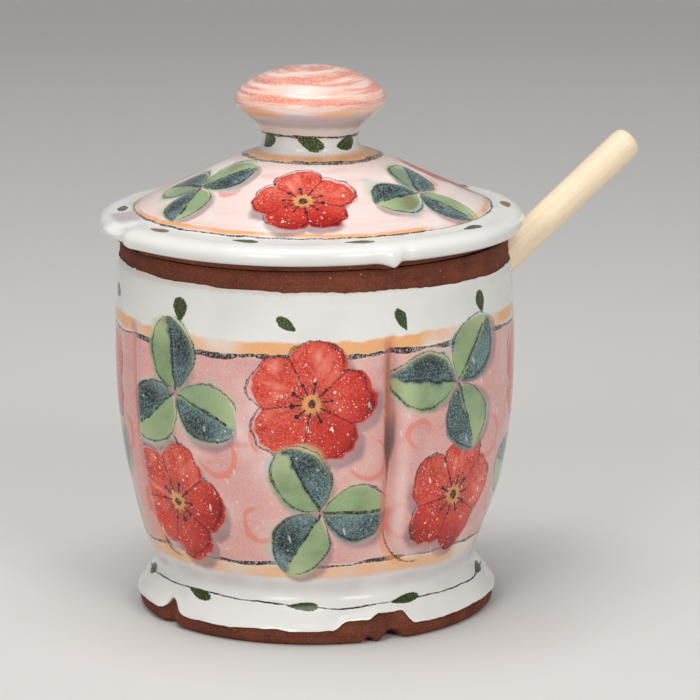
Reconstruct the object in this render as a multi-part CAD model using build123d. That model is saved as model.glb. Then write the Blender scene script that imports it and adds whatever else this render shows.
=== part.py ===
"""A thrown honey pot with a lift-off lid and a turned wooden dipper.

The origin is the centre of the foot, on the table, with +Z up.  The dipper lies in the XZ plane and
leaves the pot through a slot in the wall at +X.
"""
from build123d import *
from build123d.topology import SkipClean
import os
from math import atan, cos, degrees, sqrt

# ---------------------------------------------------------------- driving dimensions, in millimetres
POT_HEIGHT = 100.0           # table to the flat rim that the lid sits on
FOOT_RADIUS = 48.7           # widest part of the flared foot
FOOT_WIDEST = 3.6            # height at which the foot is that wide
TOE_RADIUS = 47.8            # foot where it meets the table
INSTEP = (46.4, 8.2)         # radius and height where the foot turns into the waist
HEEL = (44.3, 17.2)          # where the waist turns into the wall
BELLY_RADIUS = 53.4
BELLY_WIDEST = 73.0
BELLY_JOINT = (52.95, 57.0)  # where the belly's round meets the lower wall's
RIM_RADIUS = 52.1
WALL = 6.0                   # thrown clay wall
FLOOR = 8.0                  # clay under the honey
CORNER = 11.0                # round between wall and floor inside
CORNER_RADIUS = 41.3         # the outer wall's radius level with that corner
FOOT_RECESS_RADIUS = 39.0    # turned hollow under the foot, inside its standing ring
FOOT_RECESS = 1.5
GLAZE = 0.5                  # fired glaze coat
GLAZE_LOW = 3.8              # lower edge of the outer glaze, above the bare toe
GLAZE_HIGH = 95.3            # upper edge of the outer glaze, below the bare band
LINER_HIGH = 97.5            # upper edge of the glaze inside the pot

CREASE_RADIUS = 6.0          # round of the rib that presses each crease into the soft wall
CREASE_LOW, CREASE_HIGH = (46.2, 26.0), (52.0, 80.0)    # radius and height at the rib's ends
CREASE_REACH = 8.0           # how far the rib runs on past each end
CREASE_ANGLES = (0, 90, 180, 270)
FOOT_NICK_ANGLES = (-8, 98, 195, 274)    # where each crease runs out through the foot
FOOT_NICK_RADIUS = 3.4
FOOT_NICK_DEPTH = 3.6
FOOT_NICK_RISE = 0.6         # height of the nick's round above the table
FOOT_NICK_LENGTH = 12.0
RIM_ROUND = 1.2              # round of the pot's bare mouth

LID_RADIUS = 57.0
LID_SIDE_HEIGHT = 105.2      # height of the rim's widest point
LID_LIP = (53.6, 102.7)      # radius and height of the rim's lower glazed edge
LID_SHOULDER = (53.4, 107.6)
LID_CREASE = (47.8, 108.5)   # where the dome meets the flat rim
LID_SEAT = (50.6, 51.8, 101.3)    # the bare seat's outer radius, and where it slants up to
DOME_TOP = (17.0, 123.1)
DOME_SAG = (32.5, 115.9)
VAULT_TOP = 117.0            # crown of the round vault under the dome
VAULT_RADIUS = 74.0
FLANGE_RADIUS = 44.4         # locating ring under the lid, inside the pot's mouth
FLANGE_WALL = 3.4
FLANGE_DEPTH = 7.0
FLANGE_CHAMFER = (0.8, 2.0)  # width and height of the slant at the ring's foot
LID_LINER_LOW = 96.0         # lower edge of the glaze inside the lid
KNOB_JOINT = 122.2           # height of the luted joint between dome and knob
COVE = (13.6, 124.7)         # radius and height midway round the cove at the neck's foot
NECK_RADIUS = 12.8
NECK_HEIGHT = 127.2
KNOB_UNDER = ((14.2, 130.3), (18.9, 134.6))    # points on the flare from the neck to the cap
KNOB_RADIUS = 20.1
KNOB_WIDEST = 137.4
KNOB_SHOULDER = (18.4, 140.5)
KNOB_CROWN = (11.6, 144.2)
KNOB_TOP = 146.0

DIPPER_LENGTH = 164.6
DIPPER_RADIUS = 4.35
DIPPER_SLOPE = 0.789         # rise of the dipper's line over its run
DIPPER_AXIS_HEIGHT = 44.7    # where that line crosses the pot's axis
DIPPER_TIP_REACH = 95.2      # how far the tip stands out from the pot's axis
HEAD_LENGTH = 36.0
HEAD_RADIUS = 14.0
HEAD_END_RADIUS = 10.6
HEAD_CORE = 6.0
RIDGES = 6
RIDGE_WIDTH = 3.4
RIDGE_CROWN = 1.4            # how far a ridge's rounded edge stands above its sides
TIP_ROUND = 2.2

SLOT_WIDTH = 11.6
SLOT_GAP = 0.35              # between the dipper and the bottom of its slot
SLOT_START = 37.0            # inside the wall
SLOT_REACH = 25.0

CLEAR = 5.0                  # how far a cutting shape runs past what it cuts

DIPPER_ANGLE = degrees(atan(DIPPER_SLOPE))
CLAY_COLOR = Color(0.42, 0.22, 0.16)
GLAZE_COLOR = Color(0.93, 0.91, 0.88)
WOOD_COLOR = Color(0.90, 0.78, 0.62)


def turned(section: Sketch) -> Part:
    """Spin a section drawn as (radius, height) about the Z axis."""
    return revolve(Plane.XZ * section, Axis.Z)


def four_quarters(quarter: Part) -> Part:
    """Join a quarter, drawn from +X to +Y, and its three turned copies into one solid."""
    return Part() + [Rot(0, 0, angle) * quarter for angle in CREASE_ANGLES]


def outline(*edges) -> Sketch:
    """Close a chain of edges into a flat section."""
    return make_face(Wire(list(edges)))


def chain(*points) -> list:
    """Straight edges through the points, in order."""
    return [Line(a, b) for a, b in zip(points, points[1:])]


def moved_in(point: tuple, inset: float, drop: float = 0.0) -> tuple:
    """A point (radius, height) moved towards the axis, and down by drop."""
    return (point[0] - inset, point[1] - drop)


# ------------------------------------------------------------------------------------ the pot
def side_curve(inset: float, heel: tuple) -> list:
    """The belly and the lower wall as tangent arcs, from the rim down to the heel point."""
    joint = moved_in(BELLY_JOINT, inset)
    widest = (BELLY_RADIUS - inset, BELLY_WIDEST)
    belly = ThreePointArc((RIM_RADIUS - inset, POT_HEIGHT), widest, joint)
    lower = TangentArc(joint, moved_in(heel, inset), tangent=belly % 1)
    return [belly, lower]


def wall_curve(inset: float) -> list:
    """Belly, waist and flared foot, from the rim down to the table, moved in by inset."""
    belly, lower = side_curve(inset, HEEL)
    instep = moved_in(INSTEP, inset)
    waist = TangentArc(lower @ 1, instep, tangent=lower % 1)
    foot = ThreePointArc(instep, (FOOT_RADIUS - inset, FOOT_WIDEST), (TOE_RADIUS - inset, 0))
    return [belly, lower, waist, foot]


def quarter_form(inset: float) -> Part:
    """A quarter of the pot as a solid lump, from crease to crease, moved in by inset."""
    rim = (RIM_RADIUS - inset, POT_HEIGHT)
    toe = (TOE_RADIUS - inset, 0)
    section = outline(*wall_curve(inset), *chain(toe, (0, 0), (0, POT_HEIGHT), rim))
    return revolve(Plane.XZ * section, Axis.Z, 90) - crease_bars(inset)


def crease_bars(grow: float) -> list:
    """Leaning round bars that press a crease into each quarter of the wall."""
    run = CREASE_HIGH[0] - CREASE_LOW[0]
    rise = CREASE_HIGH[1] - CREASE_LOW[1]
    middle = (CREASE_LOW[0] + CREASE_HIGH[0]) / 2 + CREASE_RADIUS
    height = (CREASE_LOW[1] + CREASE_HIGH[1]) / 2
    bar = Cylinder(CREASE_RADIUS + grow, rise + 2 * CREASE_REACH)
    bar = Pos(middle, 0, height) * Rot(0, degrees(atan(run / rise)), 0) * bar
    return [Rot(0, 0, angle) * bar for angle in CREASE_ANGLES]


def cavity(inset: float) -> Part:
    """The room for honey, shrunk by inset for the coat of glaze inside it."""
    out = GLAZE + WALL + inset
    floor = FLOOR + inset
    corner = (CORNER_RADIUS, floor)
    mouth = (RIM_RADIUS - out, POT_HEIGHT)
    walls = side_curve(out, corner)
    base = chain((corner[0] - out, floor), (0, floor), (0, POT_HEIGHT), mouth)
    section = outline(*walls, *base)
    section = fillet(section.vertices().sort_by_distance((corner[0] - out, floor))[0], CORNER - inset)
    return turned(section)


def dipper_slot() -> Part:
    """The round-bottomed slot that the dipper's handle leaves through."""
    half = SLOT_WIDTH / 2
    inner = BELLY_RADIUS - GLAZE - WALL - GLAZE
    under = DIPPER_AXIS_HEIGHT + DIPPER_SLOPE * inner - DIPPER_RADIUS / cos(atan(DIPPER_SLOPE))
    centre = under - SLOT_GAP + half
    rise = POT_HEIGHT + CLEAR - centre
    shape = Circle(half) + Pos(0, rise / 2) * Rectangle(SLOT_WIDTH, rise)
    return Pos(SLOT_START, 0, centre) * extrude(Plane.YZ * shape, SLOT_REACH)


def foot_nicks(grow: float) -> list:
    """Arched nicks where the creases run out through the foot."""
    nick = Cylinder(FOOT_NICK_RADIUS + grow, FOOT_NICK_LENGTH)
    middle = FOOT_RADIUS - FOOT_NICK_DEPTH - grow + FOOT_NICK_LENGTH / 2
    nick = Pos(middle, 0, FOOT_NICK_RISE) * Rot(0, 90, 0) * nick
    return [Rot(0, 0, angle) * nick for angle in FOOT_NICK_ANGLES]


def slab(radius: float, low: float, high: float) -> Part:
    """A round slab about the Z axis between two heights."""
    return Pos(0, 0, (low + high) / 2) * Cylinder(radius, high - low)


def make_pot() -> dict:
    """The clay pot, its glaze outside and its glaze inside.

    The wall is kept as four quarters that meet in the creases, because a crease that lay inside one
    round face would leave that face with holes.
    """
    with SkipClean():
        quarter = quarter_form(GLAZE)
        band = slab(BELLY_RADIUS + CLEAR, GLAZE_LOW, GLAZE_HIGH)
        coat = four_quarters((quarter_form(0) & band) - quarter)
        coat = coat - dipper_slot() - foot_nicks(1.0)

        clay = four_quarters(quarter) - cavity(0) - dipper_slot() - foot_nicks(0)
        clay -= slab(FOOT_RECESS_RADIUS, -1, FOOT_RECESS)
        rim = clay.edges().filter_by(GeomType.CIRCLE).group_by(Axis.Z)[-1]
        clay = fillet(rim, RIM_ROUND)

    liner = (cavity(0) & slab(BELLY_RADIUS, 0, LINER_HIGH)) - cavity(GLAZE) - dipper_slot()
    return {"pot_body": clay, "pot_outer_glaze": coat, "pot_liner_glaze": liner}


# ------------------------------------------------------------------------------------ the lid
def lid_lip(inset: float) -> tuple:
    """The rim's lower glazed edge, moved in slantwise by inset."""
    return moved_in(LID_LIP, inset * 0.7, -inset * 0.7)


def lid_top(inset: float) -> list:
    """Rim, dome and knob from the rim's lower edge to the crown, moved in by inset."""
    drop = inset * 1.12                     # the same coat measured straight down the dome
    top = moved_in(LID_SHOULDER, 0, inset)
    crease = moved_in(LID_CREASE, 0, inset)
    dome_top = moved_in(DOME_TOP, 0, drop)
    neck = (NECK_RADIUS - inset, NECK_HEIGHT)
    widest = (KNOB_RADIUS - inset, KNOB_WIDEST)
    roll = ThreePointArc(lid_lip(inset), (LID_RADIUS - inset, LID_SIDE_HEIGHT), top)
    flat = Line(top, crease)
    dome = ThreePointArc(crease, moved_in(DOME_SAG, 0, drop), dome_top)
    cove = Spline(dome_top, moved_in(COVE, inset), neck, tangents=(dome % 1, (0, 1)))
    flare = [moved_in(point, inset) for point in KNOB_UNDER]
    under = Spline(neck, *flare, widest, tangents=((0, 1), (0, 1)))
    shoulder = moved_in(KNOB_SHOULDER, inset * 0.8, inset * 0.5)
    cap = Spline(widest, shoulder, moved_in(KNOB_CROWN, 0, inset), (0, KNOB_TOP - inset),
                 tangents=((0, 1), (-1, 0)))
    return [roll, flat, dome, cove, under, cap]


def lid_hollow(inset: float) -> Part:
    """The hollow under the lid, inside its locating ring, shrunk by inset."""
    inside = FLANGE_RADIUS - FLANGE_WALL - inset
    bottom = POT_HEIGHT - FLANGE_DEPTH
    vault_radius = VAULT_RADIUS - inset
    centre = VAULT_TOP - VAULT_RADIUS
    rise = [(r, centre + sqrt(vault_radius**2 - r**2)) for r in (inside, inside / 2, 0)]
    walls = chain(rise[2], (0, bottom - 1), (inside, bottom - 1), rise[0])
    return turned(outline(*walls, ThreePointArc(*rise)))


def lid_form(inset: float) -> Part:
    """The lid as a solid lump with the locating ring under it, moved in by inset on top."""
    crown = (0, KNOB_TOP - inset)
    base = POT_HEIGHT - FLANGE_DEPTH
    width, height = FLANGE_CHAMFER
    seat, slant, slant_height = LID_SEAT
    under = chain(crown, (0, base), (FLANGE_RADIUS - width, base), (FLANGE_RADIUS, base + height),
                  (FLANGE_RADIUS, POT_HEIGHT), (seat, POT_HEIGHT), (slant, slant_height),
                  lid_lip(inset))
    return turned(outline(*lid_top(inset), *under))


def make_lid() -> dict:
    """The clay lid, its knob, and its glaze above and below."""
    clay = lid_form(GLAZE) - lid_hollow(0)
    joint = slab(FLANGE_RADIUS, KNOB_JOINT, KNOB_TOP + CLEAR)
    # only what lies above the joint plane belongs to the knob
    knob = clay & joint
    dome = clay - joint
    coat = lid_form(0) - lid_form(GLAZE)
    liner = (lid_hollow(0) & slab(FLANGE_RADIUS, LID_LINER_LOW, KNOB_TOP)) - lid_hollow(GLAZE)
    return {"lid_body": dome, "lid_knob": knob, "lid_glaze": coat, "lid_liner_glaze": liner}


# ------------------------------------------------------------------------------------ the dipper
def ridge_radius(along: float) -> float:
    """Outer radius of the barrel-shaped head at a distance from its end."""
    middle = HEAD_LENGTH / 2
    fall = (HEAD_RADIUS - HEAD_END_RADIUS) / middle**2
    return HEAD_RADIUS - fall * (along - middle) ** 2


def make_dipper() -> Part:
    """One piece of turned wood: a grooved head and a plain round handle."""
    pitch = (HEAD_LENGTH - RIDGE_WIDTH) / (RIDGES - 1)
    first = ridge_radius(RIDGE_WIDTH / 2) - RIDGE_CROWN
    edges = [Line((0, 0), (first, 0))]
    for i in range(RIDGES):
        low = i * pitch
        high = low + RIDGE_WIDTH
        crest = (ridge_radius(low + RIDGE_WIDTH / 2), low + RIDGE_WIDTH / 2)
        shoulder = crest[0] - RIDGE_CROWN
        if i:
            edges += chain((HEAD_CORE, low), (shoulder, low))
        start = edges[-1] @ 1
        edges.append(ThreePointArc(start, crest, (shoulder, high)))
        if i < RIDGES - 1:
            edges += chain((shoulder, high), (HEAD_CORE, high), (HEAD_CORE, low + pitch))
    edges += chain((shoulder, HEAD_LENGTH), (DIPPER_RADIUS, HEAD_LENGTH),
                   (DIPPER_RADIUS, DIPPER_LENGTH - TIP_ROUND))
    tip = RadiusArc((DIPPER_RADIUS, DIPPER_LENGTH - TIP_ROUND), (DIPPER_RADIUS - TIP_ROUND, DIPPER_LENGTH),
                    -TIP_ROUND)
    edges += [tip, *chain((DIPPER_RADIUS - TIP_ROUND, DIPPER_LENGTH), (0, DIPPER_LENGTH), (0, 0))]
    wood = turned(outline(*edges))
    run = cos(atan(DIPPER_SLOPE))
    head_end = DIPPER_TIP_REACH / run - DIPPER_LENGTH
    return Pos(0, 0, DIPPER_AXIS_HEIGHT) * Rot(0, 90 - DIPPER_ANGLE, 0) * Pos(0, 0, head_end) * wood


def main() -> None:
    """Make every node and write its STEP."""
    os.makedirs("parts", exist_ok=True)
    nodes = {**make_pot(), **make_lid(), "dipper": make_dipper()}
    for name, shape in nodes.items():
        shape.label = name
        if name == "dipper":
            shape.color = WOOD_COLOR
        elif name.endswith("glaze"):
            shape.color = GLAZE_COLOR
        else:
            shape.color = CLAY_COLOR
        export_step(shape, f"parts/{name}.step")


if __name__ == "__main__":
    main()
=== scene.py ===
"""Dress a thrown honey pot in bare clay, brushed glaze and pale wood."""
import logging
import math
from bisect import bisect_right
from dataclasses import dataclass
from enum import Enum
from typing import Callable, Sequence, Union

import bmesh
import bpy
from mathutils import Matrix, Vector, noise
from mathutils.geometry import interpolate_bezier


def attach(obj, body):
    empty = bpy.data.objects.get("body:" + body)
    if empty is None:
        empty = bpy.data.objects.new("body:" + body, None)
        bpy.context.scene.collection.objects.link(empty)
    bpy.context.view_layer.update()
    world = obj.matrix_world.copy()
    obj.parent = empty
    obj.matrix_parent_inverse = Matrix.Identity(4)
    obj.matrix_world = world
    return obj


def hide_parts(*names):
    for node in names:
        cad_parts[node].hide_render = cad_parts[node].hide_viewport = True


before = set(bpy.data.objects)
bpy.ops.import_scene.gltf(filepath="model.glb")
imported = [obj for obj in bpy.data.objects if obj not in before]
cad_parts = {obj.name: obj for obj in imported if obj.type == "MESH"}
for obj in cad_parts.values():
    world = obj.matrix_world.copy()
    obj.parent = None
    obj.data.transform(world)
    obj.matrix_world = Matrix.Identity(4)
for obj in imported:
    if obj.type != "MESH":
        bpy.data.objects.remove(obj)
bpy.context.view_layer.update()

MM = 0.001                      # every size below is in millimetres until a mesh is finished
PICTURE_PIXELS = 700            # the picture is square
FULL_TURN = 2 * math.pi
SECTORS = 8                     # a full turn is spun as one sector and seven copies of it
CREASES = (0.0, 90.0, 184.5, 270.5)     # directions of the creases pressed into the pot, in degrees
LOBE_LOW = 20.5                 # height at which the pillow beside a crease ends
LOBE_ROUND = 10.0               # radius of its lower corner
FRONT = -22.5                   # how far the front is turned from -Y about the axis, in degrees

log = logging.getLogger("honey_pot")
Section = list[Vector]          # points (radius, height) in the half plane that is spun


# ====================================================================== shaping tools
def fade(low: float, high: float, value: float) -> float:
    """Ease from 0 at low to 1 at high, which may lie on either side of it."""
    t = min(1.0, max(0.0, (value - low) / (high - low)))
    return t * t * (3 - 2 * t)


def bump(distance: float, reach: float, power: float = 2.0) -> float:
    """Fall from 1 at no distance towards 0 past reach, squarer as power grows."""
    return math.exp(-abs(distance / reach) ** power)


def arc_from(angle: float, centre: float, radius: float) -> float:
    """Signed shorter arc from a centre in degrees to an angle in radians, positive anticlockwise."""
    turn = (angle - math.radians(centre) + math.pi) % FULL_TURN - math.pi
    return turn * radius


def drawn(stations: Sequence[tuple[float, float]], step: float) -> Section:
    """Draw a smooth line through given stations.

    Args:
        stations: Points (radius, height) that the line goes through.
        step: Spacing of the points returned.

    Returns:
        Points along the line, first and last station included.
    """
    marks = [Vector(station) for station in stations]
    first, last = marks[0], marks[-1]
    before = Vector((-marks[1].x, marks[1].y)) if first.x == 0 else first
    after = Vector((-marks[-2].x, marks[-2].y)) if last.x == 0 else last
    marks = [before, *marks, after]
    line: Section = []
    for ahead, start, end, beyond in zip(marks, marks[1:], marks[2:], marks[3:]):
        span = (end - start).length
        leave = start + (end - ahead).normalized() * span / 3
        arrive = end - (beyond - start).normalized() * span / 3
        count = max(2, round(span / step) + 1)
        line += interpolate_bezier(start, leave, arrive, end, count)[:-1]
    return [point.to_2d() for point in [*line, last]]


def shifted(line: Section, out: float) -> Section:
    """Move a line sideways, to the left of its own direction.

    Args:
        line: The points to move.
        out: Distance to the left; negative is to the right.

    Returns:
        The moved points, those on the axis kept on it.
    """
    moved: Section = []
    for i, point in enumerate(line):
        ahead = line[min(i + 1, len(line) - 1)] - line[max(i - 1, 0)]
        side = Vector((-ahead.y if point.x > 0 else 0.0, ahead.x))
        moved.append(point + side.normalized() * out)
    return moved


def rounded_end(start: Vector, end: Vector, swell: float, count: int = 5) -> Section:
    """Go round the edge of a coat in an arc.

    Args:
        start: Where the arc begins.
        end: Where it ends.
        swell: How far the arc stands out to the right of the line from start to end.
        count: Points inside the arc.

    Returns:
        The points between start and end, both left out.
    """
    middle, half = (start + end) / 2, (end - start) / 2
    out = Vector((half.y, -half.x)).normalized() * swell
    turns = [math.pi * i / (count + 1) for i in range(1, count + 1)]
    return [middle - half * math.cos(t) + out * math.sin(t) for t in turns]


def spun(section: Section, steps: int, closed: bool = True) -> bmesh.types.BMesh:
    """Spin a section about the Z axis.

    Args:
        section: Points (radius, height), in order.
        steps: Faces round the axis, a multiple of SECTORS.
        closed: Whether the last point joins the first.

    Returns:
        The mesh, in millimetres.
    """
    mesh = bmesh.new()
    rows = [mesh.verts.new((point.x, 0, point.y)) for point in section]
    pairs = zip(rows, [*rows[1:], rows[0]] if closed else rows[1:])
    edges = [mesh.edges.new(pair) for pair in pairs if max(vert.co.x for vert in pair) > 0]
    sector = FULL_TURN / SECTORS
    about = {"cent": (0, 0, 0), "axis": (0, 0, 1), "dvec": (0, 0, 0)}
    bmesh.ops.spin(mesh, geom=[*rows, *edges], angle=sector, steps=steps // SECTORS, **about)
    whole = [*mesh.verts, *mesh.edges, *mesh.faces]
    bmesh.ops.spin(
        mesh, geom=whole, angle=FULL_TURN - sector, steps=SECTORS - 1, use_duplicate=True, **about)
    bmesh.ops.remove_doubles(mesh, verts=mesh.verts, dist=1e-4)
    bmesh.ops.recalc_face_normals(mesh, faces=mesh.faces)
    return mesh


def reshaped(mesh: bmesh.types.BMesh, hand: Callable[[Vector], Vector]) -> bmesh.types.BMesh:
    """Move every point of a mesh as a hand-made shape asks.

    Args:
        mesh: The mesh to change.
        hand: Gives a point's new place from its old one.

    Returns:
        The same mesh.
    """
    for vert in mesh.verts:
        vert.co = hand(vert.co)
    return mesh


def finished(mesh: bmesh.types.BMesh, name: str) -> bpy.types.Object:
    """Turn a mesh in millimetres into a shaded object in metres.

    Args:
        mesh: The mesh, which is used up.
        name: The piece's name.

    Returns:
        The object, at the origin and linked to the scene.
    """
    bmesh.ops.scale(mesh, vec=(MM, MM, MM), verts=mesh.verts)
    data = bpy.data.meshes.new(name)
    mesh.to_mesh(data)
    mesh.free()
    data.shade_smooth()
    piece = bpy.data.objects.new(name, data)
    bpy.context.scene.collection.objects.link(piece)
    return piece


def carve(piece: bpy.types.Object, tool: bpy.types.Object) -> None:
    """Cut a closed tool out of a piece and throw the tool away.

    Args:
        piece: The piece to cut.
        tool: The closed shape to remove.
    """
    cut = piece.modifiers.new("cut", "BOOLEAN")
    cut.operation, cut.object, cut.solver = "DIFFERENCE", tool, "MANIFOLD"
    depsgraph = bpy.context.evaluated_depsgraph_get()
    data = bpy.data.meshes.new_from_object(piece.evaluated_get(depsgraph))
    piece.modifiers.clear()
    old, piece.data = piece.data, data
    data.name = piece.name
    bpy.data.meshes.remove(old)
    bpy.data.meshes.remove(tool.data)


# ====================================================================== material tools
Number = Union[float, "Flow"]
Colour = tuple[float, float, float, float]


def pigment(*levels: int) -> Colour:
    """Turn red, green and blue as a screen shows them, 0 to 255, into the light they stand for."""
    shares = [level / 255 for level in levels]
    return (*(s / 12.92 if s <= 0.04045 else ((s + 0.055) / 1.055) ** 2.4 for s in shares), 1.0)


class Tint(Enum):
    """The pigments of the pot's palette."""

    WHITE = pigment(236, 235, 231)
    MILK = pigment(226, 225, 223)
    THIN = pigment(204, 186, 176)
    SHADE = pigment(176, 160, 170)
    SHADOW = pigment(154, 126, 130)
    PINK = pigment(220, 158, 151)
    ROSE = pigment(206, 136, 128)
    BLUSH = pigment(244, 220, 214)
    SCARLET = pigment(204, 38, 24)
    CRIMSON = pigment(136, 14, 14)
    CORAL = pigment(232, 114, 84)
    CHALK = pigment(234, 116, 96)
    PEACH = pigment(238, 142, 100)
    ORANGE = pigment(240, 170, 104)
    SPROUT = pigment(196, 208, 158)
    SAGE = pigment(146, 172, 128)
    OLIVE = pigment(124, 140, 86)
    TEAL = pigment(36, 60, 64)
    STEEL = pigment(100, 126, 132)
    MIST = pigment(172, 200, 196)
    SLATE = pigment(24, 24, 34)
    LEAF = pigment(44, 62, 2)
    UMBER = pigment(134, 86, 52)


class Flow:
    """One number or colour that runs through a material's nodes, with arithmetic."""

    def __init__(self, recipe: "Recipe", socket: bpy.types.NodeSocket) -> None:
        """Hold a socket and the recipe that it belongs to."""
        self.recipe = recipe
        self.socket = socket

    def through(self, operation: str, *others: Number) -> "Flow":
        """Run the number through one Math node, with any second and third number it takes."""
        return self.recipe.math(operation, self, *others)

    def __add__(self, other: Number) -> "Flow":
        """Add."""
        return self.through("ADD", other)

    def __sub__(self, other: Number) -> "Flow":
        """Subtract."""
        return self.through("SUBTRACT", other)

    def __rsub__(self, other: float) -> "Flow":
        """Subtract from a plain number."""
        return self.recipe.math("SUBTRACT", other, self)

    def __mul__(self, other: Number) -> "Flow":
        """Multiply."""
        return self.through("MULTIPLY", other)

    def __truediv__(self, other: Number) -> "Flow":
        """Divide."""
        return self.through("DIVIDE", other)

    def __abs__(self) -> "Flow":
        """Drop the sign."""
        return self.through("ABSOLUTE")

    def either(self, other: Number) -> "Flow":
        """Keep the larger of two masks."""
        return self.through("MAXIMUM", other)

    def both(self, other: Number) -> "Flow":
        """Keep the smaller of two numbers."""
        return self.through("MINIMUM", other)

    def with_square(self, other: "Flow") -> "Flow":
        """Give the length of the slanted side over two square ones."""
        return (self * self + other * other).through("SQRT")

    def fade(self, low: float, high: float) -> "Flow":
        """Ease from 0 at low to 1 at high.

        Args:
            low: Value at which the result is 0.
            high: Value at which the result is 1, on either side of low.

        Returns:
            The mask.
        """
        node = self.recipe.node("ShaderNodeMapRange", interpolation_type="SMOOTHSTEP")
        for name, value in (("Value", self), ("From Min", low), ("From Max", high)):
            self.recipe.feed(node.inputs[name], value)
        return Flow(self.recipe, node.outputs["Result"])

    def between(self, low: float, high: float, soft: float) -> "Flow":
        """Mask the stretch from low to high, with edges as wide as soft."""
        return self.fade(low - soft / 2, low + soft / 2) * self.fade(high + soft / 2, high - soft / 2)

    def line(self, centre: Number, width: Number, soft: float) -> "Flow":
        """Mask a stroke of some full width round a value, with edges as wide as soft."""
        return (abs(self - centre) - width * 0.5).fade(soft, 0)


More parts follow.
